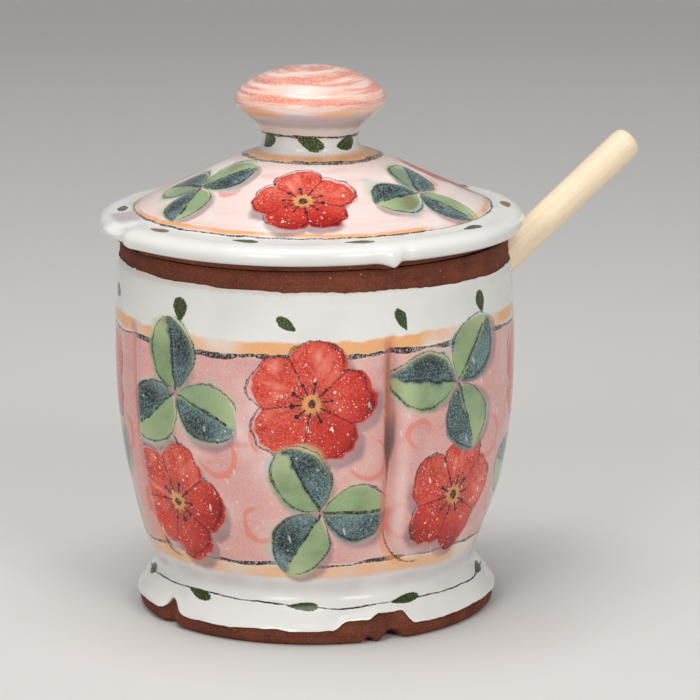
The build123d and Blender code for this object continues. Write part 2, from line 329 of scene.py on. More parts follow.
class Recipe:
    """A material under construction."""

    def __init__(self, name: str) -> None:
        """Start an empty material with its shader.

        Args:
            name: The material's name.
        """
        self.material = bpy.data.materials.new(name)
        self.material.use_nodes = True
        self.tree = self.material.node_tree
        self.tree.nodes.clear()
        self.shader = self.node("ShaderNodeBsdfPrincipled")
        output = self.node("ShaderNodeOutputMaterial")
        self.tree.links.new(self.shader.outputs[0], output.inputs["Surface"])
        self.place = self.node("ShaderNodeTexCoord").outputs["Object"]

    def node(self, kind: str, **settings: object) -> bpy.types.Node:
        """Add a node.

        Args:
            kind: Blender's name for the node.
            settings: Its properties.

        Returns:
            The node.
        """
        node = self.tree.nodes.new(kind)
        for key, value in settings.items():
            setattr(node, key, value)
        return node

    def feed(self, socket: bpy.types.NodeSocket, value: object) -> None:
        """Give a socket its value.

        Args:
            socket: The socket.
            value: A flow or a socket to link, or a plain value or a tint to set.
        """
        if isinstance(value, Flow):
            value = value.socket
        if isinstance(value, bpy.types.NodeSocket):
            self.tree.links.new(value, socket)
        else:
            socket.default_value = value.value if isinstance(value, Tint) else value

    def math(self, operation: str, *values: Number) -> Flow:
        """Add one Math node.

        Args:
            operation: The node's operation.
            values: Its numbers, in order.

        Returns:
            The result.
        """
        node = self.node("ShaderNodeMath", operation=operation)
        for socket, value in zip(node.inputs, values):
            self.feed(socket, value)
        return Flow(self, node.outputs[0])

    def vector(self, x: Number, y: Number, z: Number) -> bpy.types.NodeSocket:
        """Join three numbers into a place.

        Args:
            x: The first number.
            y: The second.
            z: The third.

        Returns:
            The place.
        """
        node = self.node("ShaderNodeCombineXYZ")
        for socket, value in zip(node.inputs, (x, y, z)):
            self.feed(socket, value)
        return node.outputs[0]

    def circling(self, turn: Flow, reach: float, along: Number) -> bpy.types.NodeSocket:
        """Join a direction and a distance into a place with no seam, for strokes that run round."""
        return self.vector(turn.through("COSINE") * reach, turn.through("SINE") * reach, along)

    def in_millimetres(self, place: bpy.types.NodeSocket) -> tuple[Flow, Flow, Flow]:
        """Split a place into its three numbers.

        Args:
            place: The place, in metres.

        Returns:
            Its x, y and z, in millimetres.
        """
        node = self.node("ShaderNodeSeparateXYZ")
        self.feed(node.inputs[0], place)
        return tuple(Flow(self, socket) * (1 / MM) for socket in node.outputs)

    def pattern(self, kind: str, size: float, place: object, **settings: object) -> bpy.types.Node:
        """Add a pattern node.

        Args:
            kind: Blender's name for the node.
            size: Size of one lump, in millimetres, or in the units of a place that is given.
            place: Where to read it; the object's own place if None.
            settings: Its properties.

        Returns:
            The node.
        """
        node = self.node(kind, **settings)
        self.feed(node.inputs["Vector"], self.place if place is None else place)
        node.inputs["Scale"].default_value = 1 / (size * MM if place is None else size)
        return node

    def cloud(self, size: float, detail: float, place: object = None, seed: float = 0.0) -> Flow:
        """Give soft noise from 0 to 1.

        Args:
            size: Size of a lump, as for a pattern.
            detail: How much finer noise lies on it.
            place: Where to read it, as for a pattern.
            seed: Picks another cloud.

        Returns:
            The noise.
        """
        node = self.pattern("ShaderNodeTexNoise", size, place, noise_dimensions="4D")
        node.inputs["Detail"].default_value = detail
        node.inputs["W"].default_value = seed
        return Flow(self, node.outputs["Fac"])

    def dots(self, spacing: float, place: object = None) -> Flow:
        """Give the distance to the nearest of many scattered dots, as a share of their spacing."""
        node = self.pattern("ShaderNodeTexVoronoi", spacing, place, feature="F1")
        return Flow(self, node.outputs["Distance"])

    def chance(self, number: Flow, salt: float) -> tuple[Flow, Flow, Flow]:
        """Draw the random numbers that go with a whole number.

        Args:
            number: The whole number.
            salt: Picks other random numbers.

        Returns:
            Three numbers from -0.5 to 0.5.
        """
        node = self.node("ShaderNodeTexWhiteNoise", noise_dimensions="1D")
        self.feed(node.inputs["W"], number + salt)
        split = self.node("ShaderNodeSeparateColor")
        self.feed(split.inputs[0], node.outputs["Color"])
        return tuple(Flow(self, socket) - 0.5 for socket in split.outputs)

    def layers(self, colour: object, *coats: tuple[object, Number]) -> object:
        """Lay colours over one another.

        Args:
            colour: The lowest colour.
            coats: The colours above it in order, each with how much of it shows, 0 to 1.

        Returns:
            The blend.
        """
        for coat, share in coats:
            node = self.node("ShaderNodeMix", data_type="RGBA")
            for key, value in (("Factor", share), (6, colour), (7, coat)):
                self.feed(node.inputs[key], value)
            colour = Flow(self, node.outputs[2])
        return colour

    def finish(self, colour: Flow, height: Flow, depth: float, shine: dict[str, float]) -> bpy.types.Material:
        """Join everything to the shader.

        Args:
            colour: The surface's colour.
            height: Height of its fine relief.
            depth: What a height of 1 stands for, in millimetres.
            shine: The shader's own plain numbers, by name.

        Returns:
            The material.
        """
        self.feed(self.shader.inputs["Base Color"], colour)
        node = self.node("ShaderNodeBump")
        node.inputs["Distance"].default_value = depth * MM
        self.feed(node.inputs["Height"], height)
        self.feed(self.shader.inputs["Normal"], node.outputs[0])
        for name, value in shine.items():
            self.shader.inputs[name].default_value = value
        return self.material


# ====================================================================== the finishes
@dataclass(frozen=True)
class BareClay:
    """Unglazed red earthenware with throwing lines and pale grit."""

    name: str = "bare_clay"
    slot: str = "bare_clay"
    body: Colour = pigment(124, 64, 44)
    dark: Colour = pigment(90, 44, 31)
    grit: Colour = pigment(206, 156, 128)

    def material(self) -> bpy.types.Material:
        """Mix the clay.

        Returns:
            The material.
        """
        mix = Recipe(self.name)
        x, y, z = mix.in_millimetres(mix.place)
        rings = mix.cloud(1.0, 3.0, mix.vector(x * 0.03, y * 0.03, z * 2.2))
        grain = mix.cloud(0.3, 2.0, seed=2.0)
        specks = mix.dots(1.0).fade(0.16, 0.08) * mix.cloud(2.2, 1.0, seed=4.0).fade(0.54, 0.62)
        chips = mix.dots(4.6).fade(0.07, 0.045)
        clay = mix.layers(
            self.dark,
            (self.body, mix.cloud(9.0, 4.0).fade(0.25, 0.7)),
            (self.dark, rings.fade(0.48, 0.7) * 0.5),
            (self.grit, grain.fade(0.5, 0.78) * 0.26),
            (self.grit, specks.either(chips) * 0.7))
        shine = {"Roughness": 0.82, "Specular IOR Level": 0.25}
        return mix.finish(clay, grain * 0.6 + rings * 1.2, 0.2, shine)


@dataclass(frozen=True)
class PaleWood:
    """Sanded pale beech with fine lines along its grain."""

    name: str = "pale_wood"
    slot: str = "pale_wood"
    body: Colour = pigment(248, 228, 198)
    line: Colour = pigment(228, 196, 158)
    fleck: Colour = pigment(206, 168, 126)

    def material(self, lean: float) -> bpy.types.Material:
        """Mix the wood.

        Args:
            lean: Angle of the grain above the X axis, in radians.

        Returns:
            The material.
        """
        mix = Recipe(self.name)
        along = mix.node("ShaderNodeMapping")
        along.inputs["Rotation"].default_value = (0, lean, 0)
        mix.feed(along.inputs["Vector"], mix.place)
        x, y, z = mix.in_millimetres(along.outputs[0])
        grain = mix.cloud(1.0, 3.0, mix.vector(x * 0.03, y * 1.1, z * 1.1))
        ticks = mix.cloud(1.0, 1.0, mix.vector(x * 0.35, y * 3.5, z * 3.5))
        patches = mix.cloud(1.0, 2.0, mix.vector(x * 0.5, y * 0.5, z * 0.5))
        wood = mix.layers(
            self.body,
            (self.line, grain.fade(0.42, 0.75) * 0.45),
            (self.fleck, ticks.fade(0.64, 0.74) * 0.25),
            (self.line, patches.fade(0.5, 0.8) * 0.3))
        return mix.finish(wood, grain + ticks * 0.6, 0.06, {"Roughness": 0.55})


@dataclass(frozen=True)
class PlainGlaze:
    """Glossy white glaze with nothing painted on it."""

    name: str = "plain_glaze"
    slot: str = "plain_glaze"
    roughness: float = 0.16
    specular: float = 0.3
    coat: float = 0.15
    coat_roughness: float = 0.08

    def over(self, mix: Recipe, colour: Flow) -> bpy.types.Material:
        """Cover a colour with clear gloss that ripples faintly.

        Args:
            mix: The recipe that the colour belongs to.
            colour: The colour under the gloss.

        Returns:
            The material.
        """
        ripple = mix.cloud(2.6, 1.0) + mix.cloud(9.0, 1.0, seed=2.0) * 1.6
        shine = {"Roughness": self.roughness, "Specular IOR Level": self.specular}
        shine |= {"Coat Weight": self.coat, "Coat Roughness": self.coat_roughness}
        return mix.finish(colour, ripple, 0.05, shine)

    def material(self) -> bpy.types.Material:
        """Mix the glaze.

        Returns:
            The material.
        """
        mix = Recipe(self.name)
        pooled = mix.cloud(16.0, 3.0).fade(0.5, 0.8) * 0.3
        return self.over(mix, mix.layers(Tint.WHITE, (Tint.SHADE, pooled)))


@dataclass(frozen=True)
class Spot:
    """A motif's own axes on the surface, in millimetres from its middle."""

    across: Flow
    up: Flow

    def moved(self, right: float, over: float) -> "Spot":
        """Give the axes of a motif that lies further right and further up."""
        return Spot(self.across - right, self.up - over)

    def turned(self, angle: Flow) -> "Spot":
        """Turn the axes by an angle in radians."""
        cosine, sine = angle.through("COSINE"), angle.through("SINE")
        return Spot(self.across * cosine + self.up * sine, self.up * cosine - self.across * sine)

    def polar(self) -> tuple[Flow, Flow]:
        """Give the radius and the direction."""
        return self.across.with_square(self.up), self.up.through("ARCTAN2", self.across)


class Brush:
    """Strokes and motifs painted under the glaze, in millimetres on the surface."""

    def __init__(self, mix: Recipe) -> None:
        """Start painting into a recipe, on white glaze.

        Args:
            mix: The recipe.
        """
        self.mix = mix
        x, y, self.z = mix.in_millimetres(mix.place)
        self.turn = y.through("ARCTAN2", x)
        self.reach = x.with_square(y)
        self.grain = mix.cloud(0.42, 1.0, seed=7.0)
        self.stipple = mix.cloud(0.5, 2.0, seed=17.0).fade(0.38, 0.64)
        self.drift = mix.cloud(8.0, 2.0, seed=3.0)
        self.shake = mix.cloud(3.2, 1.0, seed=5.0) - 0.5
        self.sway = mix.cloud(11.0, 0.0, seed=6.0) - 0.5
        sparse = mix.cloud(4.0, 1.0, seed=9.0).fade(0.42, 0.6)
        self.specks = (mix.dots(0.85) + self.grain * 0.5 - 0.25).fade(0.26, 0.12) * sparse
        steep = mix.dots(3.4, mix.vector(x + self.z * 0.3, y + self.z * 0.16, self.z * 0.3))
        slack = mix.dots(3.6, mix.vector(x - self.z * 0.7, y - self.z * 0.7, self.z * 0.4 + x * 0.4))
        self.flecks = (steep.both(slack) + self.grain * 0.12 - 0.06).fade(0.12, 0.08)
        self.colour = mix.layers(Tint.WHITE, (Tint.MILK, mix.cloud(20.0, 3.0).fade(0.42, 0.75)))

    def lay(self, tint: object, share: Flow) -> None:
        """Paint a colour over what is there, where the mask says."""
        self.colour = self.mix.layers(self.colour, (tint, share))

    def cell(self, count: int, start: float, salt: float) -> tuple[Flow, Flow, tuple[Flow, Flow, Flow]]:
        """Split the girth into equal cells.

        Args:
            count: Number of cells.
            start: Direction of one cell's middle, in degrees.
            salt: Picks other random numbers.

        Returns:
            The cell's number, the angle from its middle and its three random numbers.
        """
        pitch = FULL_TURN / count
        share = (self.turn - math.radians(start)) / pitch
        number = (share + 0.5).through("FLOOR")
        index = (number + count * 4).through("MODULO", count)
        return index, (share - number) * pitch, self.mix.chance(index, salt)

    def pencil(self, mask: Flow, press: float = 0.14) -> None:
        """Draw a line with a waxy pencil's broken grain.

        Args:
            mask: Where the line runs.
            press: How hard the pencil is pressed, from 0, faint, to 0.4, solid.
        """
        ragged = (mask + self.grain - 0.5).fade(0.3, 0.75) * mask.fade(0.0, 0.2)
        bite = (self.grain + self.drift * 0.24).fade(0.7 - press, 0.94 - press)
        self.lay(Tint.SLATE, ragged * (bite * 0.56 + 0.42))

    def thickness(self, fine: float, full: float) -> Flow:
        """Give a stroke's width, which swells and thins along it."""
        return self.drift.fade(0.35, 0.65) * (full - fine) + fine

    def flower(self, spot: Spot, size: float, here: Number = 1.0) -> None:
        """Paint a five-petalled flower.

        Args:
            spot: Its axes.
            size: Radius of a petal's tip.
            here: Mask of where such flowers are painted at all.
        """
        mix, drift, shake = self.mix, self.drift, self.shake

        def petals(axes: Spot) -> tuple[Flow, Flow, Flow]:
            """Measure the petals.

            Args:
                axes: The flower's axes.

            Returns:
                The room left inside the petals, the radius and the direction.
            """
            reach, turn = axes.polar()
            lobe = abs((turn * 2.5).through("COSINE")).through("POWER", 0.6)
            edge = lobe * (size * 0.26) + shake * 2.0 + drift * 3.6 + (size * 0.74 - 1.8)
            return edge - reach, reach, turn

        cast, _, _ = petals(spot.moved(1.9, -2.7))
        self.lay(Tint.SHADOW, cast.fade(-0.6, 1.4) * here * (drift * 0.8 + 0.35))
        inside, reach, turn = petals(spot)
        self.lay(Tint.CORAL, inside.fade(-1.4, 0.6) * here * self.sway.fade(0.0, 0.2) * 0.5)
        streak = mix.cloud(1.0, 2.0, mix.vector(turn * 3.4, reach * 0.14, drift * 2.0))
        slant = (spot.across - spot.up) / size + (drift - 0.5) * 1.6
        fill = (inside + shake * 0.6).fade(-0.3, 0.4) * here
        red = mix.layers(
            Tint.SCARLET,
            (Tint.CHALK, streak.fade(0.4, 0.7) * slant.fade(0.9, -0.9)),
            (Tint.BLUSH, streak.fade(0.54, 0.76) * slant.fade(0.0, -1.2) * 0.4),
            (Tint.CRIMSON, slant.fade(0.1, 1.5) * 0.7),
            (Tint.CRIMSON, reach.fade(size * 0.46, size * 0.14) * 0.7),
            (Tint.SCARLET, inside.fade(1.8, 0.3) * 0.8),
            (Tint.CRIMSON, drift.fade(0.52, 0.68) * 0.35),
            (Tint.CHALK, self.stipple * slant.fade(1.4, -0.5) * 0.7))
        self.lay(red, fill)
        self.lay(Tint.WHITE, fill * self.specks.either(self.flecks) * 0.8)
        parting = abs((turn * 2.5).through("COSINE")) * reach + shake * 1.2
        self.pencil(parting.fade(0.9, 0.3) * reach.between(size * 0.34, size * 0.78, 1.6) * here)
        loose, _, _ = petals(spot.moved(-0.7, 0.5))
        self.pencil((loose + self.sway * 3.6).line(0.2, self.thickness(0.12, 0.7), 0.3) * here)
        heart = (reach + shake * 2.4).fade(3.4, 2.2) * (self.stipple * 0.2 + 0.74)
        self.lay(mix.layers(Tint.ORANGE, (Tint.UMBER, slant.fade(-0.4, 0.8) * 0.5)), heart * here)
        off_spoke = abs((turn * 5.0).through("SINE")) * reach / 5.0
        spokes = (off_spoke + shake * 0.3).fade(0.34, 0.12) * reach.between(2.4, 4.8, 0.5)
        tips = ((reach - 5.2).with_square(off_spoke) + shake * 1.3).fade(0.75, 0.35)
        self.pencil(spokes.either(tips).either((reach + shake * 1.6).fade(1.5, 0.8)) * here, 0.3)

    def leaf(self, spot: Spot, size: float, here: Number = 1.0) -> None:
        """Paint a three-lobed leaf, pale on one side of each rib and dark on the other.

        Args:
            spot: Its axes.
            size: Distance from its middle to a lobe's tip.
            here: Mask of where such leaves are painted at all.
        """
        mix, drift, shake, sway = self.mix, self.drift, self.shake, self.sway
        third = FULL_TURN / 3

        def lobes(axes: Spot) -> tuple[Flow, Flow, Flow]:
            """Measure the lobes.

            Args:
                axes: The leaf's axes.

            Returns:
                The room left inside the lobes, the distance along a rib and the distance off it.
            """
            reach, turn = axes.polar()
            fold = (turn + third * 2.5).through("MODULO", third) - third / 2
            along = reach * fold.through("COSINE")
            side = reach * fold.through("SINE") + shake * 1.4
            belly = 1 - ((along - size * 0.54) / (size * 0.5)).through("POWER", 2.0)
            width = belly.either(0.0).through("POWER", 0.7) * (drift * 1.5 + size * 0.37)
            return width - abs(side), along, side

        cast, along, _ = lobes(spot.moved(1.7, -2.4))
        self.lay(Tint.SHADOW, cast.fade(-0.6, 1.4) * along.between(2.0, size, 1.6) * here * 0.7)
        inside, along, side = lobes(spot)
        near = along.between(size * 0.1, size * 1.02, 3.0) * here
        halo = mix.layers(Tint.SPROUT, (Tint.MIST, drift.fade(0.44, 0.56)))
        self.lay(halo, (inside + sway * 9.0).fade(-2.6, 1.2) * near * 0.75)
        lobe = along.between(size * 0.05, size * 1.03, 0.8) * here
        pale = mix.layers(
            Tint.SAGE,
            (Tint.OLIVE, drift.fade(0.4, 0.66) * 0.75),
            (Tint.SPROUT, along.fade(size * 0.5, size) * 0.6),
            (Tint.UMBER, sway.fade(0.12, 0.3) * 0.45),
            (Tint.STEEL, sway.fade(-0.1, -0.3) * 0.5))
        self.lay(pale, inside.fade(-0.6, 0.8) * lobe * (self.stipple * -0.16 + 0.98))
        wash = (side + shake * 2.2).fade(0.7, -0.6) * inside.fade(-0.6, 0.5) * lobe
        heavy = along.between(size * 0.3, size * 0.78, size * 0.24) * sway.fade(-0.25, 0.05)
        dark = mix.layers(
            Tint.TEAL,
            (Tint.STEEL, drift.fade(0.42, 0.66) * 0.8),
            (Tint.SLATE, heavy * side.fade(-0.4, -2.6) * 0.8),
            (Tint.MIST, self.stipple * 0.4 - heavy * 0.12))
        self.lay(dark, wash * (inside.fade(0.0, 2.2) * 0.3 + 0.7))
        self.lay(Tint.WHITE, wash * self.flecks * 0.5)
        loose, along, off = lobes(spot.moved(0.5, 0.4))
        outline = (loose + sway * 3.0).line(0.1, self.thickness(0.1, 0.65), 0.3)
        self.pencil(outline * along.between(size * 0.07, size * 1.02, 0.6) * here)
        rib = (off + sway * 1.2).line(0.0, self.thickness(0.1, 0.7), 0.3)
        self.pencil(rib * along.between(size * 0.02, size * 0.88, 1.0) * here, 0.2)

    def curl(self, spot: Spot, radius: float, opening: float) -> None:
        """Paint an open coral curl, full at its middle and fine at its ends.

        Args:
            spot: Its axes.
            radius: Its radius.
            opening: Direction of its gap, in radians.
        """
        reach, turn = spot.polar()
        full = abs(((turn - opening) * 0.5).through("SINE"))
        stroke = (reach + self.shake * 1.8).line(radius, full * full * 1.25, 0.45) * full.fade(0.35, 0.75)
        self.lay(Tint.CORAL, stroke * (self.stipple * 0.35 + 0.38))

    def dab(self, spot: Spot, long: float, wide: float, tint: object) -> None:
        """Paint one press of a loaded brush.

        Args:
            spot: Its axes, the first along the press.
            long: Its half length.
            wide: Its half width.
            tint: Its colour.
        """
        aside = spot.up / ((spot.across / long).fade(-1.6, 0.6) * 0.7 + 0.4)
        press = spot.across * spot.across / long**2 + aside * aside / wide**2
        press = press + self.shake * 0.9 + (self.grain - 0.5) * 0.8
        self.lay(tint, press.fade(1.15, 0.9) * (self.stipple * -0.06 + 1.0))


@dataclass(frozen=True)
class PaintedGlaze:
    """Bright brushwork under glossy glaze; each painted piece has a picture of its own."""

    name: str
    slot: str = "painted_glaze"
    gloss: PlainGlaze = PlainGlaze()

    def paint(self, brush: Brush) -> None:
        """Paint the piece."""
        raise NotImplementedError

    def material(self) -> bpy.types.Material:
        """Paint the piece and cover it with gloss.

        Returns:
            The material.
        """
        brush = Brush(Recipe(self.name))
        self.paint(brush)
        return self.gloss.over(brush.mix, brush.colour)


@dataclass(frozen=True)
class PaintedPot(PaintedGlaze):
    """Frieze of flowers and leaves on a pink ground between two orange stripes."""

    name: str = "painted_pot_glaze"
    radius: float = 52.0                # at which arcs are measured
    frieze_cells: int = 8
    upper_row: float = 66.5             # heights of the motifs' middles
    lower_row: float = 36.5
    flower_size: float = 16.6
    leaf_size: float = 19.5
    panel: tuple[float, float] = (21.5, 78.5)           # heights of the pink ground's edges
    dab_row: float = 88.0
    foot_line: float = 9.7
    coat_edge: float = 95.3

    def paint(self, brush: Brush) -> None:
        """Paint the pot from the ground up.

        Args:
            brush: The brush that paints it.
        """
        thin = (brush.z + brush.shake + (brush.grain - 0.5) * 3.0).fade(self.coat_edge - 1.3, self.coat_edge)
        brush.lay(Tint.THIN, thin * 0.5)
        self.ground(brush)
        self.frieze(brush)
        self.pooled(brush)
        self.dabs(brush)

    def ground(self, brush: Brush) -> None:
        """Paint the pink panel, the stripes round it and the line above the foot.

        Args:
            brush: The brush that paints it.
        """
        mix, stipple, sway = brush.mix, brush.stipple, brush.sway
        low, high = self.panel
        height = brush.z + (mix.cloud(42.0, 1.0, seed=8.0) - 0.5) * 5.0 + brush.shake * 0.5
        wash = height.between(low, high, 1.0)
        streaks = mix.cloud(1.0, 3.0, mix.circling(brush.turn, 2.2, height * 0.16))
        pink = mix.layers(
            Tint.PINK,
            (Tint.BLUSH, mix.cloud(15.0, 3.0, seed=11.0).fade(0.45, 0.8) * 0.7),
            (Tint.ROSE, streaks.fade(0.5, 0.75) * 0.55))
        brush.lay(pink, wash * 0.96)
        brush.lay(Tint.BLUSH, wash * stipple * 0.24)
        brush.lay(Tint.CORAL, wash * streaks.fade(0.6, 0.8) * sway.fade(0.0, 0.2) * 0.35)
        brush.lay(Tint.WHITE, wash * brush.flecks * 0.55)
        patchy = mix.cloud(22.0, 2.0, seed=13.0).fade(0.3, 0.54) * 0.68 + stipple * 0.12 + 0.16
        loose = height + brush.shake * 1.2
        brush.lay(Tint.ORANGE, loose.between(high + 0.6, high + 4.2, 1.0) * patchy)
        brush.lay(Tint.ORANGE, loose.between(low - 4.2, low - 0.4, 1.6) * patchy * 0.8)
        brush.pencil((height + sway * 2.0).line(high, brush.thickness(0.1, 1.2), 0.4), 0.24)
        brush.pencil((height - sway * 2.4).line(low, brush.thickness(0.0, 0.8), 0.4), 0.24)
        brush.lay(Tint.SHADE, height.between(12.8, 17.0, 3.6) * brush.drift * 0.6)
        foot = (height + sway * 1.2).line(self.foot_line, brush.thickness(0.02, 0.2), 0.2)
        brush.pencil(foot, 0.34)

    def frieze(self, brush: Brush) -> None:
        """Paint the zig-zag of flowers and leaves, with curls and stems between them.

        Args:
            brush: The brush that paints it.
        """
        z = brush.z
        number, bend, (first, second, third) = brush.cell(self.frieze_cells, 22.5, 3.7)
        across = bend * self.radius
        for right, over, radius, opening in (
                (14.0, 51.0, 5.4, 2.4), (-13.0, 56.5, 3.6, -0.8), (-15.5, 33.0, 4.8, 0.6)):
            brush.curl(Spot(across - right, z - over), radius, opening)
        stem = across - ((z - 36.0) * 0.16).through("SINE") * 4.0
        between_rows = z.between(self.lower_row + 4, self.upper_row - 4, 2.0)
        brush.pencil(stem.line(0.0, brush.thickness(0.3, 0.9), 0.3) * between_rows, 0.2)
        swing = number.through("MODULO", 2.0) * (self.upper_row - self.lower_row)
        wobble = first * 3.0
        low = Spot(across - wobble, z - self.lower_row - swing + second * 3.0)
        brush.flower(low.turned(third * 2.4), self.flower_size)
        high = Spot(across + wobble, z - self.upper_row + swing + third * 3.0)
        brush.leaf(high.turned(first * 2.0 + 0.5), self.leaf_size)

    def pooled(self, brush: Brush) -> None:
        """Let colour gather in the pressed creases, as running glaze does, and paint shade on each valley's
        flank and a highlight on the pillow beside it.

        Args:
            brush: The brush that paints it.
        """
        mix, z, stipple = brush.mix, brush.z, brush.stipple
        low, high = self.panel
        corner = LOBE_LOW + LOBE_ROUND
        deep = mix.layers(Tint.UMBER, (Tint.TEAL, (z + brush.sway * 16.0).fade(64.0, 56.0)))
        wash = mix.layers(
            Tint.ROSE,
            (Tint.CORAL, brush.drift.fade(0.4, 0.6) * 0.6),
            (Tint.ORANGE, z.fade(corner + 3.0, corner - 4.0) * 0.8))
        below = (corner - z).either(0.0)
        taper = z.fade(43.0, 56.0) * 1.5 - z.fade(60.0, 78.0) * 0.8
        for base in CREASES:
            turn = (brush.turn - math.radians(base) + FULL_TURN * 1.5).through("MODULO", FULL_TURN)
            away = (turn - math.pi) * self.radius + brush.shake * 0.6
            room = LOBE_ROUND - (LOBE_ROUND - away).either(0.0).with_square(below)
            here = z.between(low - 2.0, high + 4.0, 3.0) * away.fade(16.0, 8.0)
            # painted shade: deeper rose along each valley's flank beside the pillow, partly colour gathered
            # there
            brush.lay(wash, room.between(-2.8, -0.4, 1.6) * here * (stipple * 0.2 + 0.5))
            # painted highlight: pale blush along the pillow's edge beside the valley
            brush.lay(Tint.BLUSH, room.between(0.6, 3.4, 2.0) * here * z.fade(60.0, 44.0) * 0.4)
            # umber and teal down the valley, partly gathered glaze colour and partly painted shade in the
            # crease
            valley_tint_and_shade = (abs(away + 0.9) - taper).fade(0.5, -0.3) * z.between(43.0, high, 3.0)
            brush.lay(deep, valley_tint_and_shade * (stipple * 0.2 + z.fade(64.0, 54.0) * 0.25 + 0.36))
            brush.pencil((room + 0.5).line(0.0, brush.thickness(0.0, 0.6), 0.3) * here * z.fade(34.0, 26.0))

    def dabs(self, brush: Brush) -> None:
        """Paint the rows of green dabs above the panel and round the foot.

        Args:
            brush: The brush that paints it.
        """
        spotted = brush.stipple * brush.drift.fade(0.42, 0.7) * 0.3
        green = brush.mix.layers(Tint.LEAF, (Tint.OLIVE, spotted))
        _, bend, (first, second, third) = brush.cell(11, 8.0, 20.0)
        dab = Spot(bend * self.radius + first * 9.0, brush.z - self.dab_row + second * 2.0)
        dab = dab.turned(third * 2.6 + math.pi / 2)
        brush.dab(Spot(dab.across, dab.up * (second * 0.5 + 1.0)), 3.0, 1.75, green)
        _, bend, (first, second, third) = brush.cell(9, 3.0, 30.0)
        dab = Spot(bend * self.radius + first * 9.0, brush.z - self.foot_line + second)
        dab = dab.turned(third * 0.24)
        brush.dab(Spot(dab.across * (second * 0.4 + 1.0), dab.up), 4.6, 0.95, green)


